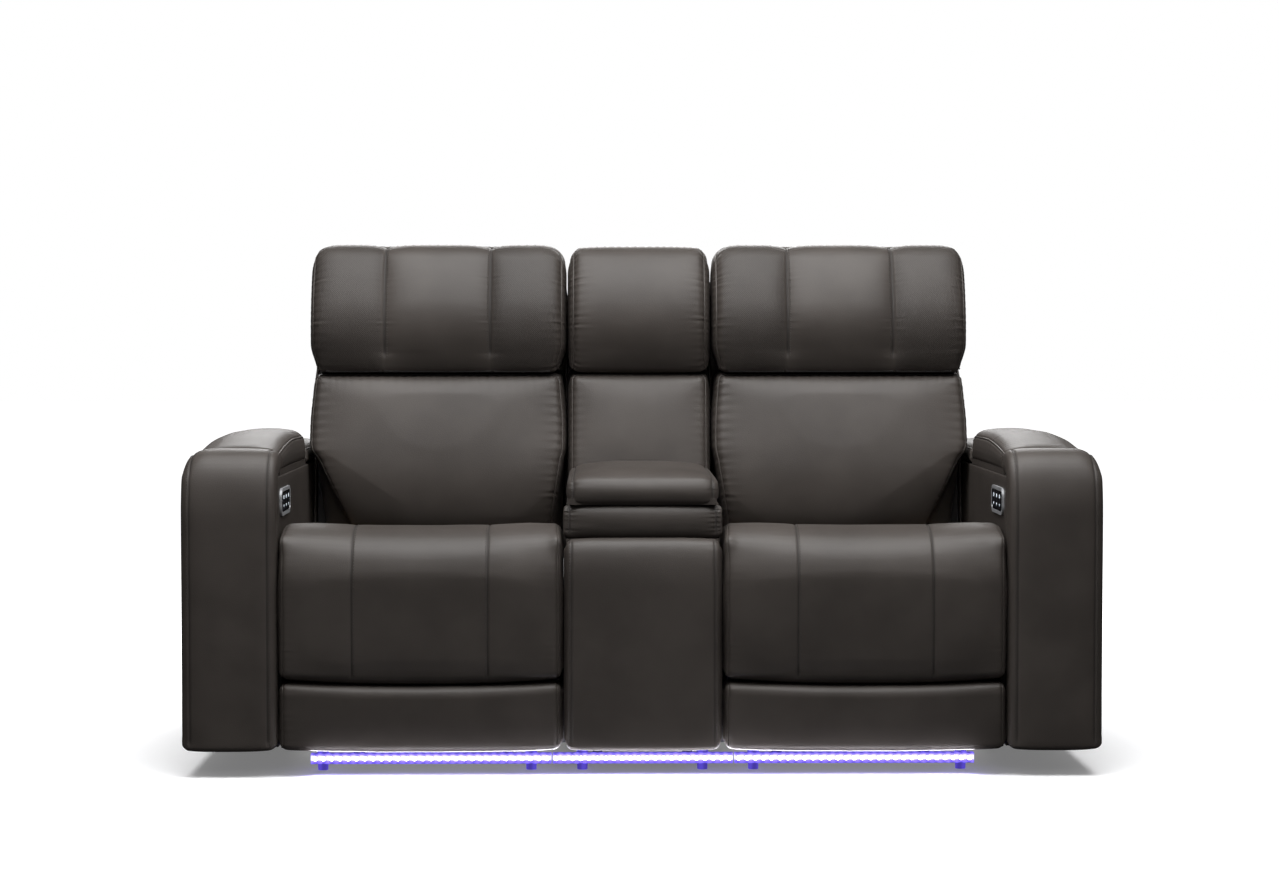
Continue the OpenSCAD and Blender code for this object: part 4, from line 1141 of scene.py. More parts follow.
@dataclass
class Assembly:
    """What every sub-assembly shares: the finishes by key, and the making of its pieces."""

    finishes: Finishes

    def dress_nodes(self, nodes: dict[str, str]) -> None:
        """Give CAD nodes their finishes: a finish's key for each node's name."""
        for name, key in nodes.items():
            dress(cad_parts[name], self.finishes[key])

    def place(self, piece: bpy.types.Object, key: str, body: str, nodes: Sequence[str] = (),
              slot: str = "leather") -> bpy.types.Object:
        """Dress a new piece and tie it to the frame.

        Args:
            piece: The object.
            key: Its finish's key.
            body: The CAD body it rides on; empty for a piece that is tied to no body.
            nodes: The CAD nodes it stands for.
            slot: Its material slot; not used.

        Returns:
            The same object.
        """
        dress(piece, self.finishes[key])
        if body:
            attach(piece, body)
        if nodes:
            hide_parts(*nodes)
        LOG.info("%s: %d faces", piece.name, len(piece.data.polygons))
        return piece

    def soft(self, skin: Skin, name: str, body: str, nodes: Sequence[str], fill: float,
             marks: dict[str, Array] | None = None) -> bpy.types.Object:
        """Make a padded leather piece.

        Args:
            skin: Its surface.
            name: Its name.
            body: The CAD body it rides on, or an empty name.
            nodes: The CAD nodes it stands for.
            fill: How full it is, from 0 to 1; not used.
            marks: Further values per point.

        Returns:
            The piece.
        """
        piece = self.place(skin.build(name, marks), "hide", body, nodes)
        return piece

    def stitched(self, skin: Skin, paths: Sequence[Array], name: str, body: str, offset: float,
                 *thread: float) -> bpy.types.Object:
        """Make two rows of stitches beside two paths one piece; thread goes on to sew."""
        pot = MeshPot()
        sew_pair(pot, skin, paths, offset, *thread)
        return self.place(pot.build(name), "thread", body)

    def welted(self, skin: Skin, paths: Sequence[Array], name: str, body: str, radius: float,
               lift: float = 0.35) -> bpy.types.Object:
        """Make the welts along paths of a surface one piece."""
        pot = MeshPot()
        for path in paths:
            welt(pot, skin, path, radius, lift)
        return self.place(pot.build(name), "hide", body)

    def panel(self, name: str, body: str, x: float, half: float, corners: Sequence[Pair],
              spine: Sequence[Pair], key: str) -> None:
        """Make a thin upright panel with eased edges, square to the row.

        Args:
            name: Its name.
            body: The body it rides on.
            x: Its middle across.
            half: Half its thickness.
            corners: Depth and height of its corners.
            spine: Points of the line inside it.
            key: Its finish's key.
        """
        outline = Outline(corners, [6] * len(corners), spine)
        pillow = Pillow(outline, half, 0.6 * half, 0.6 * half, 0.0, 0.5, cap_share=0.98)
        self.place(Cushion(pillow, 14.0).skin(Side.LEFT, x, 0.3).build(name), key, body)


@dataclass
class Arm(Assembly):
    """One arm: front strap that rolls over the top, wrap, fixed rear pad and storage lid."""

    x: float = 830.0
    half: float = 95.0
    strap_t: float = 45.0
    roll_d: float = 105.0
    low: float = 57.0
    lid_z: float = 604.0
    top: float = 656.0
    lid_end: float = 562.0
    depth: float = 900.0
    shoulder: float = 50.0

    def build(self, side: Side) -> None:
        """Make every piece of the arm on one side."""
        word, x = side.word, side.value * self.x
        threads, welts = MeshPot(), MeshPot()
        self._strap(side, x, threads)
        self._rear_pad(side, x, welts)
        self._wrap(side, x, welts)
        self.place(threads.build(f"{word}_arm_stitches"), "thread", "root")
        self.place(welts.build(f"{word}_arm_welts"), "hide", "root")
        self._lid(side, x)
        self.dress_nodes({f"{word}_arm_box": "lining", f"{word}_arm_lid_board": "hide"})

    def _shoulder(self, points: Array, side: int) -> Array:
        """Round the outer top: heights above the lid drop by R - sqrt(R^2 - t^2)."""
        out = points[..., 0] * side
        t = np.clip((out - (self.half - self.shoulder)) / self.shoulder, 0.0, 1.0)
        drop = 0.62 * self.shoulder * (1.0 - np.sqrt(1.0 - 0.995 * t * t))
        points[..., 2] -= drop * smooth((points[..., 2] - 590.0) / 60.0)
        return points

    def _strap(self, side: Side, x: float, threads: MeshPot) -> None:
        """The front strap with its two topstitched border seams."""
        outline = Outline(
            [(0, self.low), (self.strap_t, self.low), (self.strap_t, self.lid_z), (self.roll_d, self.lid_z),
             (self.roll_d, self.top), (0, self.top)],
            [8, 3, 4, 8, 16, (76, 140)], [(26, 84), (28, 540), (44, 618), (84, 630)],
        )
        cushion = Cushion(Pillow(outline, self.half, 17.0, 15.0, 3.5, 1.5, bend=self._shoulder, waves=0.5))
        paths = cushion.pair(self.half - 17, (self.roll_d, 645), (0, self.low + 6), groove=1.9, width=1.9,
                             pull=1.4, reach=9.0, pucker=0.12, pitch=13.0, soft=9.0)
        skin = cushion.skin(side, x, 0.4 * side.value)
        self.soft(skin, f"{side.word}_arm_strap", "root", [f"{side.word}_arm_fascia"], 0.8)
        sew_pair(threads, skin, paths, 4.2)

    def _rear_pad(self, side: Side, x: float, welts: MeshPot) -> None:
        """The fixed pad behind the lid."""
        start, low, high = self.lid_end + 5, self.lid_z - 0.3, self.lid_z + 39.7
        outline = Outline(
            [(start, low), (self.depth, low), (self.depth, high), (start, high)], [2, 2, 20, 14],
            [(start + 16, low + 18), (self.depth - 16, low + 18)],
        )
        pillow = Pillow(outline, self.half, 20.0, 14.0, 7.0, 1.0, DOWN, waves=0.6)
        cushion = Cushion(pillow, 5.5)
        paths = cushion.pair(pillow.edge(0.62), (self.depth, low + 8), (start, low + 8),
                             groove=2.0, pull=1.0, reach=10.0, pucker=0.5, soft=18.0)
        skin = cushion.skin(side, x, 1.3 * side.value)
        self.soft(skin, f"{side.word}_arm_rear_pad", "root", [f"{side.word}_arm_cover"], 0.7)
        for path in paths:
            welt(welts, skin, path, 2.0)

    def _wrap(self, side: Side, x: float, welts: MeshPot) -> None:
        """The leather wrap round the outer, rear and inner faces.

        In plan its line goes back along one face, round two corners and forward along the
        other. Its section is a thin closed loop: up the outer face with a slow crown and
        waves, over the turned top edge, and down the inner face.
        """
        half, back, low, high = self.half, self.depth, self.low, self.lid_z - 0.6
        front, thick = self.strap_t, 6.0
        plan = rounded_path([(half, front), (half, back), (-half, back), (-half, front)], 14.0, 9.0)
        run = unit_rows(np.gradient(plan, axis=0))
        out = np.column_stack([run[:, 1], -run[:, 0]])
        gone = np.linspace(0.0, 1.0, len(plan))
        rise = np.linspace(0.0, 1.0, 44)
        turn = np.linspace(0.0, np.pi, 7)[1:-1]
        z = np.concatenate([
            low + 3 + rise * (high - low - 6), high - 3 + 3 * np.sin(turn),
            high - 3 - rise[::4] * (high - low - 6), low + 3 - 3 * np.sin(turn),
        ])
        inward = np.concatenate([
            0 * rise, thick / 2 * (1 - np.cos(turn)), thick + 0 * rise[::4], thick / 2 * (1 + np.cos(turn)),
        ])
        face = np.concatenate([1 - np.abs(2 * rise - 1) ** 4, 0 * turn, 0 * rise[::4], 0 * turn])
        panel = smooth(np.minimum(gone, 1 - gone) * 14) * (1 - bell(plan[:, 1] - back, 60.0))
        waves = slow_waves(gone * 1900.0, z, 0.7 * side.value)
        reach = face[None] * (0.9 * panel[:, None] + 0.5 * waves * panel[:, None]) - inward[None]
        points = np.empty((len(plan), len(z), 3))
        points[..., 0] = x + side.value * (plan[:, None, 0] + out[:, None, 0] * reach)
        points[..., 1] = plan[:, None, 1] + out[:, None, 1] * reach
        points[..., 2] = z[None]
        quads = grid_quads(len(plan), len(z), False, True)
        caps = [np.arange(len(z)), (len(plan) - 1) * len(z) + np.arange(len(z))[::-1]]
        if side is Side.LEFT:
            quads, caps = quads[..., ::-1], [cap[::-1] for cap in caps]
        pot = MeshPot()
        pot.add(points, quads, caps)
        self.place(pot.build(f"{side.word}_arm_wrap"), "hide", "root", [f"{side.word}_arm_cover"])
        for corner in (-1.0, 1.0):
            rows = np.linspace(low + 6, high - 6, 60)
            line = np.column_stack([0 * rows + x + corner * (half - 3.4), 0 * rows + back - 3.4, rows])
            welts.add(*tube(line, np.tile([corner, 1.0, 0.0], (60, 1)), 2.2, False))

    def _lid(self, side: Side, x: float) -> None:
        """The crowned storage lid with piped sides, drooping to the outside."""
        start, end, low, high = self.roll_d + 2, self.lid_end, self.lid_z + 2, self.lid_z + 75
        outline = Outline(
            [(start, low), (end, low), (end, high), (start + 190, high + 3), (start, high - 23)],
            [4, 4, 30, 110, 14], [(start + 26, low + 26), (start + 150, low + 34), (end - 30, low + 34)],
        )
        pillow = Pillow(outline, self.half - 1.5, 30.0, 22.0, 5.0, 1.0, DOWN, waves=0.3,
                        bend=self._droop, pressure=4.0)
        cushion = Cushion(pillow)
        paths = cushion.pair(pillow.edge(0.72), (end, low + 30), (start, low + 30),
                             groove=2.4, pull=1.5, reach=12.0, pucker=0.7, soft=26.0)
        skin = cushion.skin(side, x, 2.2 * side.value)
        body = f"{side.word}_arm_lid"
        self.soft(skin, f"{body}_cushion", body, [f"{body}_pad"], 0.85)
        self.welted(skin, paths, f"{body}_welts", body, 2.1)

    def _droop(self, points: Array, side: int) -> Array:
        """Lower the lid's outer side: the drop grows with the square of the way out."""
        out = points[..., 0] * side
        t = np.clip((out + 0.2 * self.half) / (1.2 * self.half), 0.0, 1.0)
        share = smooth((points[..., 2] - self.lid_z - 14.0) / 44.0)
        points[..., 2] -= 19.0 * t * t * share
        return points


@dataclass
class Console(Assembly):
    """The console between the seats: front pad, upper band, lid, and felt on its sides."""

    half: float = 155.0
    band_half: float = 160.0
    felt_x: float = 159.4
    low: float = 57.0
    front_t: float = 44.7
    front_h: float = 478.0
    band_d: float = 45.0
    lid_z: float = 547.0
    lid_d: float = 40.0
    lid_end: float = 490.0
    lid_top: float = 610.0

    def build(self) -> None:
        """Make every piece of the console."""
        threads = MeshPot()
        self._front(threads)
        self._band(threads)
        self.place(threads.build("console_stitches"), "thread", "root")
        self._lid()
        self.dress_nodes({"console_box": "hide", "console_lid_board": "hide"})
        for side in Side:
            self.panel(f"console_{side.word}_felt", "root", side.value * self.felt_x, 3.9,
                       [(80, 88), (520, 88), (520, 385), (80, 385)], [(120, 236), (480, 236)], "lining")

    def _front(self, threads: MeshPot) -> None:
        """The tall front panel, stitched down both sides."""
        t = self.front_t
        outline = Outline(
            [(0, self.low), (t, self.low), (t, self.front_h), (0, self.front_h)], [8, 3, 3, (34, 100)],
            [(25, self.low + 26), (26, self.front_h - 70), (30, self.front_h - 24)],
        )
        cushion = Cushion(Pillow(outline, self.half, 16.0, 15.0, 3.0, 4.5, waves=0.3))
        paths = cushion.pair(self.half - 11, (t - 6, self.front_h), (0, self.low + 6),
                             groove=1.6, width=1.9, pull=1.2, reach=8.0, pucker=0.22, soft=12.0)
        skin = cushion.skin(Side.LEFT, 0.0, 0.9)
        self.soft(skin, "console_front_panel", "root", ["console_front_pad"], 0.8)
        sew_pair(threads, skin, paths, 3.6)

    def _band(self, threads: MeshPot) -> None:
        """The set-back band with puckered side wraps."""
        low, high = self.front_h + 0.3, self.lid_z - 0.4
        front, back = self.band_d, self.band_d + 26
        outline = Outline(
            [(front, low), (back, low), (back, high), (front, high)], [(26, 16), 2, 2, (20, 30)],
            [(front + 14, low + 16), (front + 14, high - 14)],
        )
        pillow = Pillow(outline, self.band_half, 15.0, 10.0, 10.0, 1.0, waves=0.4)
        pillow.hold((back - 6, high), (back - 6, low))
        cushion = Cushion(pillow, 3.6)
        paths = cushion.pair(self.band_half - 12, (back - 4, high), (front, low + 3),
                             groove=2.2, width=2.0, pull=1.8, reach=10.0, pucker=2.0, pitch=9.0, soft=12.0)
        skin = cushion.skin(Side.LEFT, 0.0, 1.9)
        self.soft(skin, "console_band", "root", ["console_band_pad"], 0.8)
        sew_pair(threads, skin, paths, 3.2, 5.0, 3.4)

    def _lid(self) -> None:
        """The padded lid, whose nose comes down over its board to sharp front corners."""
        low, high = self.lid_z + 1.5, self.lid_top
        outline = Outline(
            [(self.lid_d - 2, low), (self.lid_end, low), (self.lid_end, high), (self.lid_d + 8, high),
             (self.lid_d - 7, low + 30)],
            [(14, 6), 4, 32, (90, 16), 16], [(self.lid_d + 34, low + 26), (self.lid_end - 30, low + 28)],
        )
        pillow = Pillow(outline, self.half - 1.5, 42.0, 26.0, 9.0, 1.0, DOWN, waves=0.3,
                        bend=self._nose, pressure=4.0)
        pillow.hold((self.lid_end, low + 8), (self.lid_d + 8, low))
        cushion = Cushion(pillow)
        paths = cushion.pair(self.half - 16, (self.lid_end, low + 20), (self.lid_d, low + 3),
                             groove=1.8, width=2.0, pull=1.5, reach=10.0, pucker=0.45, soft=16.0)
        skin = cushion.skin(Side.LEFT, 0.0, 3.1)
        self.soft(skin, "console_lid_cushion", "console_lid", ["console_lid_pad"], 0.85)
        self.stitched(skin, paths, "console_lid_stitches", "console_lid", 3.4)

    def _nose(self, points: Array, side: int) -> Array:
        """Press the nose's upper part back: depth grows with the height over the edge."""
        t = np.clip((points[..., 2] - self.lid_z) / 66.0, 0.0, 1.0)
        front = smooth((self.lid_d + 90.0 - points[..., 1]) / 90.0)
        points[..., 1] += 8.0 * t**2 * front
        return points


def way_out(points: Array, power: float) -> Array:
    """The share of half a seat's width at which points lie, to a power."""
    return np.clip(np.abs(points[..., 0]) / SEAT_HALF, 0.0, 1.0) ** power


def chaise_hem(points: Array, side: int) -> Array:
    """Lift the pad's lower edge and the seat's top towards both sides; pull out the corners."""
    points[..., 2] += 13.0 * way_out(points, 2.5) * smooth((235.0 - points[..., 2]) / 60.0)
    t = way_out(points, 2.2)
    top = smooth((points[..., 2] - 440.0) / 40.0)
    points[..., 2] += (7.0 * t - 5.0 * (1 - t)) * top
    tip = bell(np.abs(points[..., 0]) - 276.0, 15.0) * bell(points[..., 1] - 16.0, 24.0)
    tip = tip * bell(points[..., 2] - 478.0, 22.0)
    points[..., 0] += np.sign(points[..., 0]) * 4.0 * tip
    points[..., 1] -= 7.0 * tip
    points[..., 2] += 6.0 * tip
    return points


def flap_hem(points: Array, side: int) -> Array:
    """Follow the pad's edge: the flap's upper edge rises towards both sides."""
    t = way_out(points, 2.5)
    points[..., 2] += (9.0 * t - 3.0 * (1 - t)) * smooth((points[..., 2] - 130.0) / 50.0)
    return points


def back_tuck(points: Array, side: int) -> Array:
    """Draw the lower corners in and back, and bow the sides out at half height.

    Under 652 mm the outer side moves in at an even slant, the inner one a third as much,
    with the cube of the way out. Past the slanted creases the face turns back a little.
    """
    half = SEAT_HALF
    x, d, z = points[..., 0], points[..., 1], points[..., 2]
    front = smooth((BOARD_D + BACK_LEAN * (z - BOARD_Z) - d) / 110.0)
    out = x * side
    t = np.clip(out / half, -1.0, 1.0)
    slant = (652.0 - z) / 172.0
    fall = np.where(slant > 0, slant * smooth(slant * 4), 0.0)
    tuck = 82.0 * fall * np.where(t > 0, t, 0.0) ** 3 + 26.0 * fall * np.where(t < 0, -t, 0.0) ** 3
    moved = x - np.sign(out) * side * tuck * (0.25 + 0.75 * front)
    bow = 1.8 * bell(z - 640.0, 110.0) - 6.0 * smooth((z - 690.0) / 110.0)
    moved = moved + np.sign(x) * bow * np.abs(t) ** 4
    outer = np.clip(((out - half) * 0.53 + (648.0 - z) * 0.85) / 130.0, 0.0, 1.2)
    inner = np.clip(((-out - half) * 0.62 + (560.0 - z) * 0.78) / 110.0, 0.0, 1.2)
    back = 17.0 * outer * smooth((out - 40.0) / 80.0) + 12.0 * inner * smooth((-out - 120.0) / 60.0)
    return np.stack([moved, d + (back + 10.0 * np.clip(fall, 0, 1) * np.abs(t) ** 4) * front, z], -1)


def round_corners(points: Array, half: float, radius: float, drop: float, blend: float) -> None:
    """Lower the upper side corners along a quarter of an ellipse.

    Args:
        points: The points, which are changed.
        half: Half the width.
        radius: The corner's size across.
        drop: Its size in height.
        blend: Height over which it comes in, above 980 mm.
    """
    t = np.clip((np.abs(points[..., 0]) - (half - radius)) / radius, 0.0, 1.0)
    points[..., 2] -= drop * (1 - np.sqrt(1 - 0.99 * t * t)) * smooth((points[..., 2] - 980.0) / blend)


def head_round(points: Array, side: int) -> Array:
    """Round the pillow's upper side corners and draw its lower ones in."""
    low = smooth((868.0 - points[..., 2]) / 54.0)
    round_corners(points, SEAT_HALF, 62.0, 22.0, 100.0)
    points[..., 0] -= np.sign(points[..., 0]) * 11.0 * low * way_out(points, 4)
    return points


@dataclass
class Seat(Assembly):
    """One seat: chaise, footrest flap, lower back, headrest and rear cover."""

    x: float = 447.5
    half: float = SEAT_HALF
    channel: float = 136.0
    head_seam: float = 117.0

    def __post_init__(self) -> None:
        """Work out the four cushions; both sides share their cloth runs."""
        self.chaise = self._chaise()
        self.flap = self._flap()
        self.back = self._back()
        self.head = self._head()

    def _chaise(self) -> Cushion:
        """Seat and footrest leather in one: over the front roll and down the footrest."""
        outline = Outline(
            [(521, 400), (521, 458), (0, 511), (0, 257), (4, 187), (74, 187), (74, 340), (40, 378),
             (60, 402)],
            [4, 16, (120, 124), 40, 24, 6, 20, 24, 24],
            [(470, 430), (110, 446), (48, 424), (22, 368), (34, 300), (36, 222)],
        )
        pillow = Pillow(outline, self.half, 17.0, 15.0, 6.0, 4.5, DOWN, waves=0.4,
                        bend=chaise_hem, pressure=4.0)
        pillow.hold((521, 450), (40, 187))
        cushion = Cushion(pillow)
        cushion.pair(self.channel, (505, 458), (4, 192),
                     groove=2.2, width=2.2, pull=1.1, reach=13.0, pucker=0.2, pitch=21.0, soft=16.0)
        cushion.pair(pillow.edge(0.5), (510, 458), (6, 190),
                     groove=2.0, width=2.6, pull=1.2, reach=10.0, pucker=0.5, pitch=15.0, soft=18.0)
        return cushion

    def _flap(self) -> Cushion:
        """The padded flap under the footrest."""
        outline = Outline(
            [(8, 56), (46, 56), (74, 112), (74, 183), (4, 183), (4, 112)], [12, 8, 6, 6, 22, 20],
            [(26, 78), (38, 120), (38, 160)],
        )
        cushion = Cushion(Pillow(outline, self.half, 17.0, 15.0, 5.0, 4.5, waves=0.4, bend=flap_hem))
        cushion.pair(cushion.pillow.edge(0.5), (60, 183), (12, 56),
                     groove=1.8, width=2.6, pull=1.0, reach=9.0, pucker=0.5, soft=16.0)
        return cushion

    def _back(self) -> Cushion:
        """The lower back cushion: one crowned panel with a welted border."""
        outline = Outline(
            [(562, 445), (678, 445), (735.6, 805.7), (607, 805.7), (538, 542)], [(45, 20), 12, 12, 26, 70],
            [(605, 500), (615, 560), (660, 755)],
        )
        pillow = Pillow(outline, self.half, 22.0, 20.0, 15.0, 2.2, waves=0.3, bend=back_tuck, pressure=4.0)
        pillow.hold((640, 805), (580, 445))
        cushion = Cushion(pillow)
        cushion.border(pillow.edge(0.62), (560, 450), (618, 805), 26.0,
                       groove=2.0, width=2.6, pull=2.5, reach=14.0, pucker=1.3, pitch=19.0, soft=26.0)
        return cushion

    def _head(self) -> Cushion:
        """The headrest: two sewn seams and a welted border."""
        outline = Outline(
            [(596, 806.5), (756.3, 812), (790, 1028), (726, 1089), (642, 1090), (607, 1014), (576, 918)],
            [(46, 10), 8, 40, 24, 44, 44, 50], [(652, 868), (662, 930), (682, 1030)],
        )
        pillow = Pillow(outline, self.half, 22.0, 22.0, 17.0, 3.0, lines=(self.head_seam,), waves=0.3,
                        bend=head_round, pressure=4.0)
        pillow.hold((700, 1090), (604, 808))
        cushion = Cushion(pillow)
        cushion.pair(self.head_seam, (690, 1090), (590, 838),
                     groove=2.6, width=2.2, pull=2.6, reach=20.0, pucker=0.45, pitch=15.0, soft=20.0)
        cushion.border(pillow.edge(0.6), (610, 808), (690, 1090), 34.0,
                       groove=2.2, width=2.8, pull=2.5, reach=14.0, pucker=1.2, pitch=17.0, soft=24.0)
        return cushion

    def build(self, side: Side) -> None:
        """Make every soft piece of the seat on one side."""
        word, x = side.word, side.value * self.x
        self._build_chaise(side, x)
        skin = self.flap.skin(side, x, 1.1 * side.value)
        self.soft(skin, f"{word}_flap", f"{word}_footrest", [f"{word}_footrest_flap"], 0.75)
        self.welted(skin, self.flap.paths, f"{word}_flap_welts", f"{word}_footrest", 1.7, 0.2)
        skin = self.back.skin(side, x, 1.6 * side.value)
        self.soft(skin, f"{word}_lower_back", f"{word}_back", [f"{word}_back_cushion"], 0.85)
        self.welted(skin, self.back.paths, f"{word}_lower_back_welt", f"{word}_back", 2.0, 0.3)
        self._build_head(side, x)
        RearCover(self.finishes).build(word, f"{word}_back", x, [f"{word}_back_cover"])
        self._build_sides(word, x)

    def _build_sides(self, word: str, x: float) -> None:
        """Leather over the seat's side rails, and felt over the base's posts below them."""
        rail = [(112, 300), (656, 300), (656, 398), (112, 398)]
        # The felt stays under the path of the rear tray's lower edge
        base = [(112, 66), (766, 66), (766, 280), (745, 280), (680, 236), (530, 236), (530, 268), (112, 268)]
        for place, way in (("inner", -1), ("outer", 1)):
            out = way * math.copysign(1.0, x)
            self.panel(f"{word}_seat_side_{place}", f"{word}_seat", x + out * 272.3, 6.0, rail,
                       [(152, 349), (616, 349)], "hide")
            self.panel(f"{word}_base_felt_{place}", "root", x + out * 277.3, 1.7, base,
                       [(152, 160), (570, 152), (726, 165)], "lining")

    def _build_chaise(self, side: Side, x: float) -> None:
        """Chaise leather over the seat and the footrest, with its stitches and welts, baked in place and tied
        to no body.
        """
        word = side.word
        skin = self.chaise.skin(side, x, 0.8 * side.value)
        paths = self.chaise.paths
        nodes = [f"{word}_seat_cushion", f"{word}_footrest_pad"]
        pieces = [
            self.soft(skin, f"{word}_chaise", "", nodes, 0.8),
            self.stitched(skin, paths[:2], f"{word}_chaise_stitches", "", -4.4),
            self.welted(skin, paths[2:], f"{word}_chaise_welts", "", 1.7, 0.2),
        ]
        for piece in pieces:
            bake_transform(piece)

    def _build_head(self, side: Side, x: float) -> None:
        """Headrest pillow with perforated outer thirds, its topstitch rows and its border welt."""
        word, body = side.word, f"{side.word}_headrest"
        skin = self.head.skin(side, x, 2.4 * side.value)
        away = np.abs(skin.s)
        thirds = smooth((away - self.head_seam - 6.0) / 3.0) * smooth((self.half - 16.0 - away) / 6.0)
        out = self.head.pillow.outline.pick(self.head.pillow.outline.out, skin.u)
        front = smooth((0.2 - out[:, 0]) / 0.3)
        marks = {"perforated": front[:, None] * thirds[None]}
        self.soft(skin, f"{word}_head_pillow", body, [f"{word}_headrest_cushion"], 0.85, marks)
        paths = self.head.paths
        self.stitched(skin, paths[:2], f"{word}_head_stitches", body, -5.0, 5.6, 3.9, 0.75)
        self.welted(skin, paths[2:], f"{word}_head_welt", body, 2.2, 0.3)


@dataclass
class RearCover(Assembly):
    """A padded leather tray over the rear of a back, open to the front."""

    half: float = 286.0
    low: float = 370.0
    high: float = 1040.0
    low_d: float = 814.0
    high_d: float = 950.0
    edge: float = 16.0
    thick: float = 5.0
    puff: float = 6.0
    count: int = 132

    def build(self, word: str, body: str, x: float, nodes: Sequence[str]) -> None:
        """Make the tray and the welt round its rear face.

        Rings grow over the rear face from its middle, turn over the edge by a quarter
        circle, run forward along the sides to the lip and come back inside, a skin's
        thickness further in. Each ring is a superellipse, round in the middle and nearly
        square at the edge.

        Args:
            word: Start of the pieces' names.
            body: The CAD body they ride on.
            x: X of the middle.
            nodes: The CAD nodes that the tray stands for.
        """
        rings = self._rings()
        pot = MeshPot()
        quads = grid_quads(len(rings), self.count, False, True)[..., ::-1]
        last = (len(rings) - 1) * self.count
        caps = [np.arange(self.count)[::-1], last + np.arange(self.count)]
        pot.add(self._place(rings, x), quads, caps)
        self.place(pot.build(f"{word}_back_shell"), "hide", body, nodes)
        line = self._place(np.array([[1.0, 14.0, 0.32 * self.edge, 0.1 * self.edge, 0.0]]), x)[0]
        lifts = line - np.array([x, self.low_d - 200.0, (self.low + self.high) / 2])
        welts = MeshPot()
        welts.add(*tube(line, lifts, 2.6, True))
        self.place(welts.build(f"{word}_back_shell_welt"), "hide", body)

    def _rings(self) -> Array:
        """Rows of share of the size, power, inset, way forward and share of the depth."""
        share = np.linspace(0.05, 1.0, 18)
        a = np.linspace(0.26, math.pi / 2, 6)
        runs = np.array([0.15, 0.4, 0.7, 0.9, 0.98])
        inner = np.array([0.98, 0.7, 0.4, 0.15, 0.0])
        close = np.linspace(0.97, 0.05, 6)

        def rows(*columns: Array | float) -> Array:
            """Columns side by side, with single numbers repeated."""
            return np.column_stack(np.broadcast_arrays(*columns))

        return np.vstack([
            rows(share, 2 + 12 * share**2, self.edge, 0.0, 0.0),
            rows(1.0, 14.0, self.edge * (1 - np.sin(a)), self.edge * (1 - np.cos(a)), 0.0),
            rows(1.0, 14.0, 0.0, self.edge, runs),
            rows(1.0, 14.0, self.thick / 2, self.edge, np.array([1.0])),
            rows(1.0, 14.0, self.thick, self.edge, inner),
            rows(close, 2 + 12 * close**2, self.thick, self.thick + 2.0, 0.0),
        ])

    def _place(self, rings: Array, x: float) -> Array:
        """Points of the rings: x and z from the superellipse, depth from the rear plane.

        The rear plane leans with the back, and its crown is 1 - |u|^3 times 1 - |v|^3.
        """
        share, power, inset, drop, forward = (rings[:, k : k + 1] for k in range(5))
        a = ((np.arange(self.count) + 0.5) * 2 * np.pi / self.count)[None]
        c, s = np.cos(a), np.sin(a)
        size = share * (np.abs(c) ** power + np.abs(s) ** power) ** (-1 / power)
        u, v = c * size, s * size
        z = (self.low + self.high) / 2 + v * ((self.high - self.low) / 2 - inset)
        rear = self.low_d + (z - self.low) * (self.high_d - self.low_d) / (self.high - self.low)
        crown = self.puff * (1 - np.abs(np.clip(u, -1, 1)) ** 3) * (1 - np.abs(np.clip(v, -1, 1)) ** 3)
        depth = rear + crown - drop - forward * (rear - self._lip(z) - drop)
        return np.stack([x + u * (self.half - inset), depth, z], -1)

    def _lip(self, z: Array) -> Array:
        """Depth of the open front: behind the cushions and, higher up, the headrest."""
        board = BOARD_D + 0.6 + (z - BOARD_Z) * BACK_LEAN
        head = 757.2 + (z - 814.3) * BACK_LEAN
        return np.where(z > 806.0, head, board)


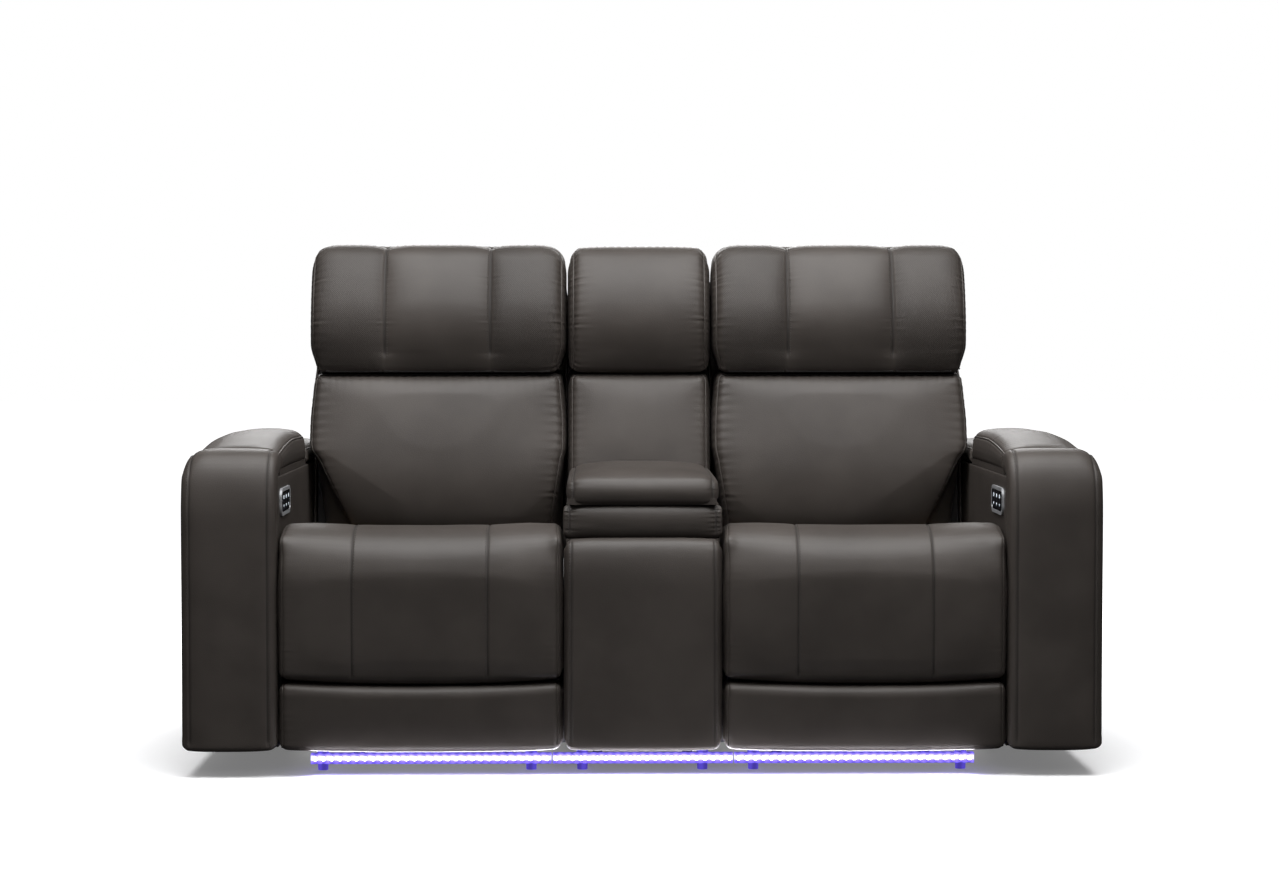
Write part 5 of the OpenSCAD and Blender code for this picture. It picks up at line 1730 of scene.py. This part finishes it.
@dataclass
class Centre(Assembly):
    """The fixed back between the seats."""

    half: float = 155.0

    def build(self) -> None:
        """Make both cushions of the centre back, its tray and its frame's leather."""
        self._lower()
        self._head()
        cover = RearCover(self.finishes, half=160.6, high=1042.0, low_d=815.5, high_d=952.0)
        cover.build("centre", "root", 0.0, [])
        self.dress_nodes({"centre_back_frame": "hide"})

    def _lower(self) -> None:
        """The narrow lower cushion."""
        outline = Outline(
            [(562, 445), (678, 445), (735.6, 805.7), (610, 805.7), (543, 545)], [(45, 20), 12, 12, 26, 70],
            [(605, 500), (615, 560), (660, 755)],
        )
        pillow = Pillow(outline, self.half, 20.0, 18.0, 12.0, 4.5, waves=0.3, pressure=4.0)
        pillow.hold((640, 805), (580, 445))
        cushion = Cushion(pillow)
        path = cushion.border(pillow.edge(0.6), (560, 450), (620, 805), 16.0,
                              groove=2.0, width=2.6, pull=2.5, reach=13.0, pucker=0.9, soft=20.0)
        skin = cushion.skin(Side.LEFT, 0.0, 4.4)
        self.soft(skin, "centre_lower_cushion", "root", ["centre_back_cushion"], 0.8)
        self.welted(skin, [path], "centre_lower_welt", "root", 1.8, 0.3)

    def _head(self) -> None:
        """The narrow head cushion with its welted border."""
        outline = Outline(
            [(600, 807), (736, 807), (771, 1028), (706, 1088), (646, 1088), (605, 1014), (577, 918)],
            [(46, 12), 8, 40, 24, 40, 44, 50], [(650, 862), (658, 930), (676, 1030)],
        )
        pillow = Pillow(outline, self.half, 24.0, 24.0, 17.0, 4.5, waves=0.3, bend=self._narrow, pressure=4.0)
        pillow.hold((690, 1090), (608, 808))
        cushion = Cushion(pillow)
        path = cushion.border(pillow.edge(0.55), (614, 808), (680, 1090), 26.0,
                              groove=2.2, width=2.8, pull=3.0, reach=14.0, pucker=1.3, pitch=16.0, soft=24.0)
        skin = cushion.skin(Side.LEFT, 0.0, 5.2)
        self.soft(skin, "centre_head_pillow", "root", ["centre_head_cushion"], 0.85)
        self.welted(skin, [path], "centre_head_welt", "root", 2.1, 0.3)

    def _narrow(self, points: Array, side: int) -> Array:
        """Round the upper side corners."""
        round_corners(points, self.half, 40.0, 12.0, 90.0)
        return points


@dataclass
class LightStrip(Assembly):
    """Domed lenses over the beads, the glow of their channel, and the strip's light painted on the feet as
    glow.
    """

    pitch: float = 16.7
    radius: float = 4.5
    height: float = 4.6
    sides: int = 10
    z: float = 35.0
    d: float = 33.0
    spans: tuple[Pair, ...] = ((-669.5, -185.0), (-182.0, 182.0), (185.0, 669.5))

    def build(self) -> None:
        """Make the lenses: each row of a dome has radius r cos a and stands out by h sin a."""
        places = []
        for low, high in self.spans:
            count = int((high - low - 2 * self.radius) // self.pitch)
            places.append((low + high) / 2 + (np.arange(count + 1) - count / 2) * self.pitch)
        x = np.concatenate(places)
        rise = np.array([0.0, 0.45, 0.9, 1.25])[:, None]
        a = (np.arange(self.sides) * 2 * np.pi / self.sides)[None]
        r, out = self.radius * np.cos(rise), self.height * np.sin(rise)
        dome = np.stack([r * np.cos(a), -out + 0 * a - 0.6, r * np.sin(a)], -1)
        base = np.stack([self.radius * np.cos(a), 0 * a, self.radius * np.sin(a)], -1)
        middles = np.stack([x, np.full_like(x, self.d), np.full_like(x, self.z)], -1)
        pot = MeshPot()
        pot.add_copies(np.concatenate([base, dome])[None] + middles[:, None, None])
        self.place(pot.build("light_lenses"), "lens", "root", ["light_beads"], "light_lens")
        # The feet get painted strip light as glow; the channel is part of the lamp.
        self.dress_nodes({"light_channels": "channel", "feet": "foot"})


@dataclass
class Switches(Assembly):
    """Marks on the rockers; bezels, plates and rockers are the frame's own."""

    face: float = 730.5
    z: float = 550.0
    first_d: float = 111.0
    pitch: float = 39.0

    def build(self, side: Side) -> None:
        """Give each rocker a bright arrowhead over a smaller one."""
        for number, part in enumerate(("headrest", "back", "footrest")):
            body = f"{side.word}_{part}_rocker"
            self.dress_nodes({body: "rocker"})
            pot = MeshPot()
            for up, size in ((1, 6.0), (-1, 4.2)):
                pot.add(*self._arrow(side, self.first_d + number * self.pitch, up, size))
            self.place(pot.build(f"{body}_marks"), "mark", body, slot="rocker_plastic")

    def _arrow(self, side: Side, d: float, up: int, size: float) -> tuple[Array, Array, list[Array]]:
        """A low prism on a triangle with cut tips, standing on the rocker's face."""
        across = np.array([-1.0, -0.75, 0.75, 1.0, 0.12, -0.12]) * size
        height = np.array([-0.45, -0.55, -0.55, -0.45, 0.75, 0.75]) * size
        layers = []
        for lift, shrink in ((0.1, 1.0), (-0.25, 1.0), (-0.45, 0.9)):
            x = np.full(6, side.value * (self.face + lift))
            layers.append(np.column_stack([x, d + across * shrink, self.z + (height * up + 8.5 * up)]))
        quads = grid_quads(3, 6, False, True)
        caps = [np.arange(6), 12 + np.arange(6)[::-1]]
        if side.value * up < 0:
            quads, caps = quads[..., ::-1], [c[::-1] for c in caps]
        return np.stack(layers), quads, caps


@dataclass
class Inside(Assembly):
    """Finishes of the frame's own nodes that stay in view."""

    def build(self) -> None:
        """Dress them."""
        self.dress_nodes({
            "base_frame": "steel", "power_inlet": "plastic", "switch_bezels": "satin",
            "switch_plates": "gloss", "lid_hinges": "chrome",
        })
        both = {
            "seat_frame": "plywood", "seat_springs": "spring", "seat_motors": "plastic",
            "footrest_board": "lining", "torque_links": "steel", "front_links": "steel",
            "back_frame": "lining", "headrest_frame": "lining",
        }
        for side in Side:
            self.dress_nodes({f"{side.word}_{part}": key for part, key in both.items()})


# Stage


def area_light(name: str, place: Sequence[float], aim: Sequence[float], size: Pair, power: float,
               colour: Sequence[float] = (1.0, 1.0, 1.0)) -> None:
    """A rectangular lamp that looks at a point.

    Args:
        name: Its name.
        place: Where it stands, in metres.
        aim: What it looks at.
        size: Its two sides.
        power: Its power in watts.
        colour: Its colour.
    """
    lamp = bpy.data.lights.new(name, "AREA")
    lamp.shape, lamp.size, lamp.size_y = "RECTANGLE", size[0], size[1]
    lamp.energy, lamp.color = power, colour
    obj = bpy.data.objects.new(name, lamp)
    obj.location = place
    away = (Vector(aim) - Vector(place)).normalized()
    obj.rotation_euler = away.to_track_quat("-Z", "Y").to_euler()
    obj.visible_camera = False
    bpy.context.scene.collection.objects.link(obj)


def build_floor() -> None:
    """A pale floor with painted light: camera-only emission, weak near the seat and full further out, whitens
    it away from the seat.
    """
    mesh = bpy.data.meshes.new("floor")
    mesh.from_pydata([(-30, -30, 0), (30, -30, 0), (30, 30, 0), (-30, 30, 0)], [], [(0, 1, 2, 3)])
    floor = bpy.data.objects.new("floor", mesh)
    bpy.context.scene.collection.objects.link(floor)
    material, g, shader = new_material("pale_floor")
    ray = g.node("LightPath").outputs["Is Camera Ray"]
    place = g.node("TexCoord").outputs["Object"]
    pale = g.mix(g.noise(place, 3.0), (0.86, 0.86, 0.87, 1.0), (0.88, 0.88, 0.89, 1.0))
    oval = g.node("Mapping", {"Vector": place, "Scale": (0.72, 1.15, 0.0)}).outputs[0]
    far = g.node("VectorMath", {0: oval}, operation="LENGTH").outputs[1]
    g.feed(shader, {
        "Base Color": g.mix(ray, (0.07, 0.07, 0.07, 1.0), pale),
        "Roughness": 0.9,
        "Specular IOR Level": 0.0,
        # Painted light: emission seen only by the camera, 0.18 near the seat and rising to full white away
        # from it.
        "Emission Strength": g.math("MULTIPLY", g.spread(far, 0.75, 1.45, 0.18, 1.0), ray),
        "Emission Color": (1.0, 1.0, 1.0, 1.0),
    })
    mesh.materials.append(material)
    floor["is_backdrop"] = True


def build_world() -> None:
    """White surroundings for the camera, and a dim sky for every other ray."""
    world = bpy.data.worlds.new("studio")
    bpy.context.scene.world = world
    world.use_nodes = True
    g = Graph(world.node_tree)
    ray = g.node("LightPath").outputs["Is Camera Ray"]
    up = g.node("SeparateXYZ", {0: g.node("TexCoord").outputs["Generated"]}).outputs[2]
    sky = g.mix(g.spread(up, -0.1, 0.9), (0.012, 0.012, 0.012, 1.0), (0.2, 0.2, 0.2, 1.0))
    g.feed(world.node_tree.nodes["Background"], {0: g.mix(ray, sky, (1.0, 1.0, 1.0, 1.0))})


def build_lamps() -> None:
    """Soft lamps round the object, and three along each length of the light strip."""
    area_light("overhead", (0.0, -1.1, 2.9), (0.0, -0.1, 0.5), (3.6, 2.0), 172.0)
    area_light("front", (0.0, -5.5, 3.0), (0.0, 0.0, 0.5), (4.0, 1.5), 18.0)
    area_light("rear", (0.0, 3.6, 2.6), (0.0, 0.3, 0.6), (3.4, 1.6), 120.0)
    pale, violet = (0.93, 0.92, 1.0), (0.55, 0.5, 1.0)
    strip = (
        ("up", (-0.452, 0.048), (-0.46, 0.3), 0.012, 0.5, pale),
        ("front", (-0.481, 0.040), (-0.465, 0.12), 0.004, 0.2, pale),
        ("down", (-0.448, 0.022), (-0.5, -0.1), 0.012, 0.35, violet),
    )
    for low, high in LightStrip.spans:
        middle, wide = (low + high) / 2 * MM, (high - low) * MM
        for key, place, aim, narrow, power, colour in strip:
            name = f"strip_{key}_{int(low) + 700}"
            area_light(name, (middle, *place), (middle, *aim), (wide, narrow), power, colour)


def build_camera() -> None:
    """The camera of the photograph."""
    scene = bpy.context.scene
    scene.view_settings.view_transform = "Standard"
    data = bpy.data.cameras.new("camera")
    data.sensor_width, data.lens = 36.0, 73.35
    camera = bpy.data.objects.new("camera", data)
    camera.location = (-0.08, -5.675, 0.885)
    camera.rotation_euler = (math.radians(90.0 - 2.285), 0.0, math.radians(-0.80))
    scene.collection.objects.link(camera)
    scene.camera = camera


def main() -> None:
    """Build the stage and every sub-assembly in order, and note the two boxes."""
    logging.basicConfig(level=logging.INFO, format="%(message)s")
    for build in (build_floor, build_world, build_lamps, build_camera):
        build()
    finishes = {key: recipe.material() for key, recipe in RECIPES.items()}
    arm, seat, switches = Arm(finishes), Seat(finishes), Switches(finishes)
    for side in Side:
        arm.build(side)
        seat.build(side)
        switches.build(side)
    for assembly in (Console, Centre, LightStrip, Inside):
        assembly(finishes).build()
    low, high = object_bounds()
    boxes = {"cad": [list(v) for v in cad_box], "visual": [list(low), list(high)]}
    for key, rows in boxes.items():
        LOG.info("%s box: %s", key, [[round(v, 4) for v in row] for row in rows])


if __name__ == "__main__":
    main()
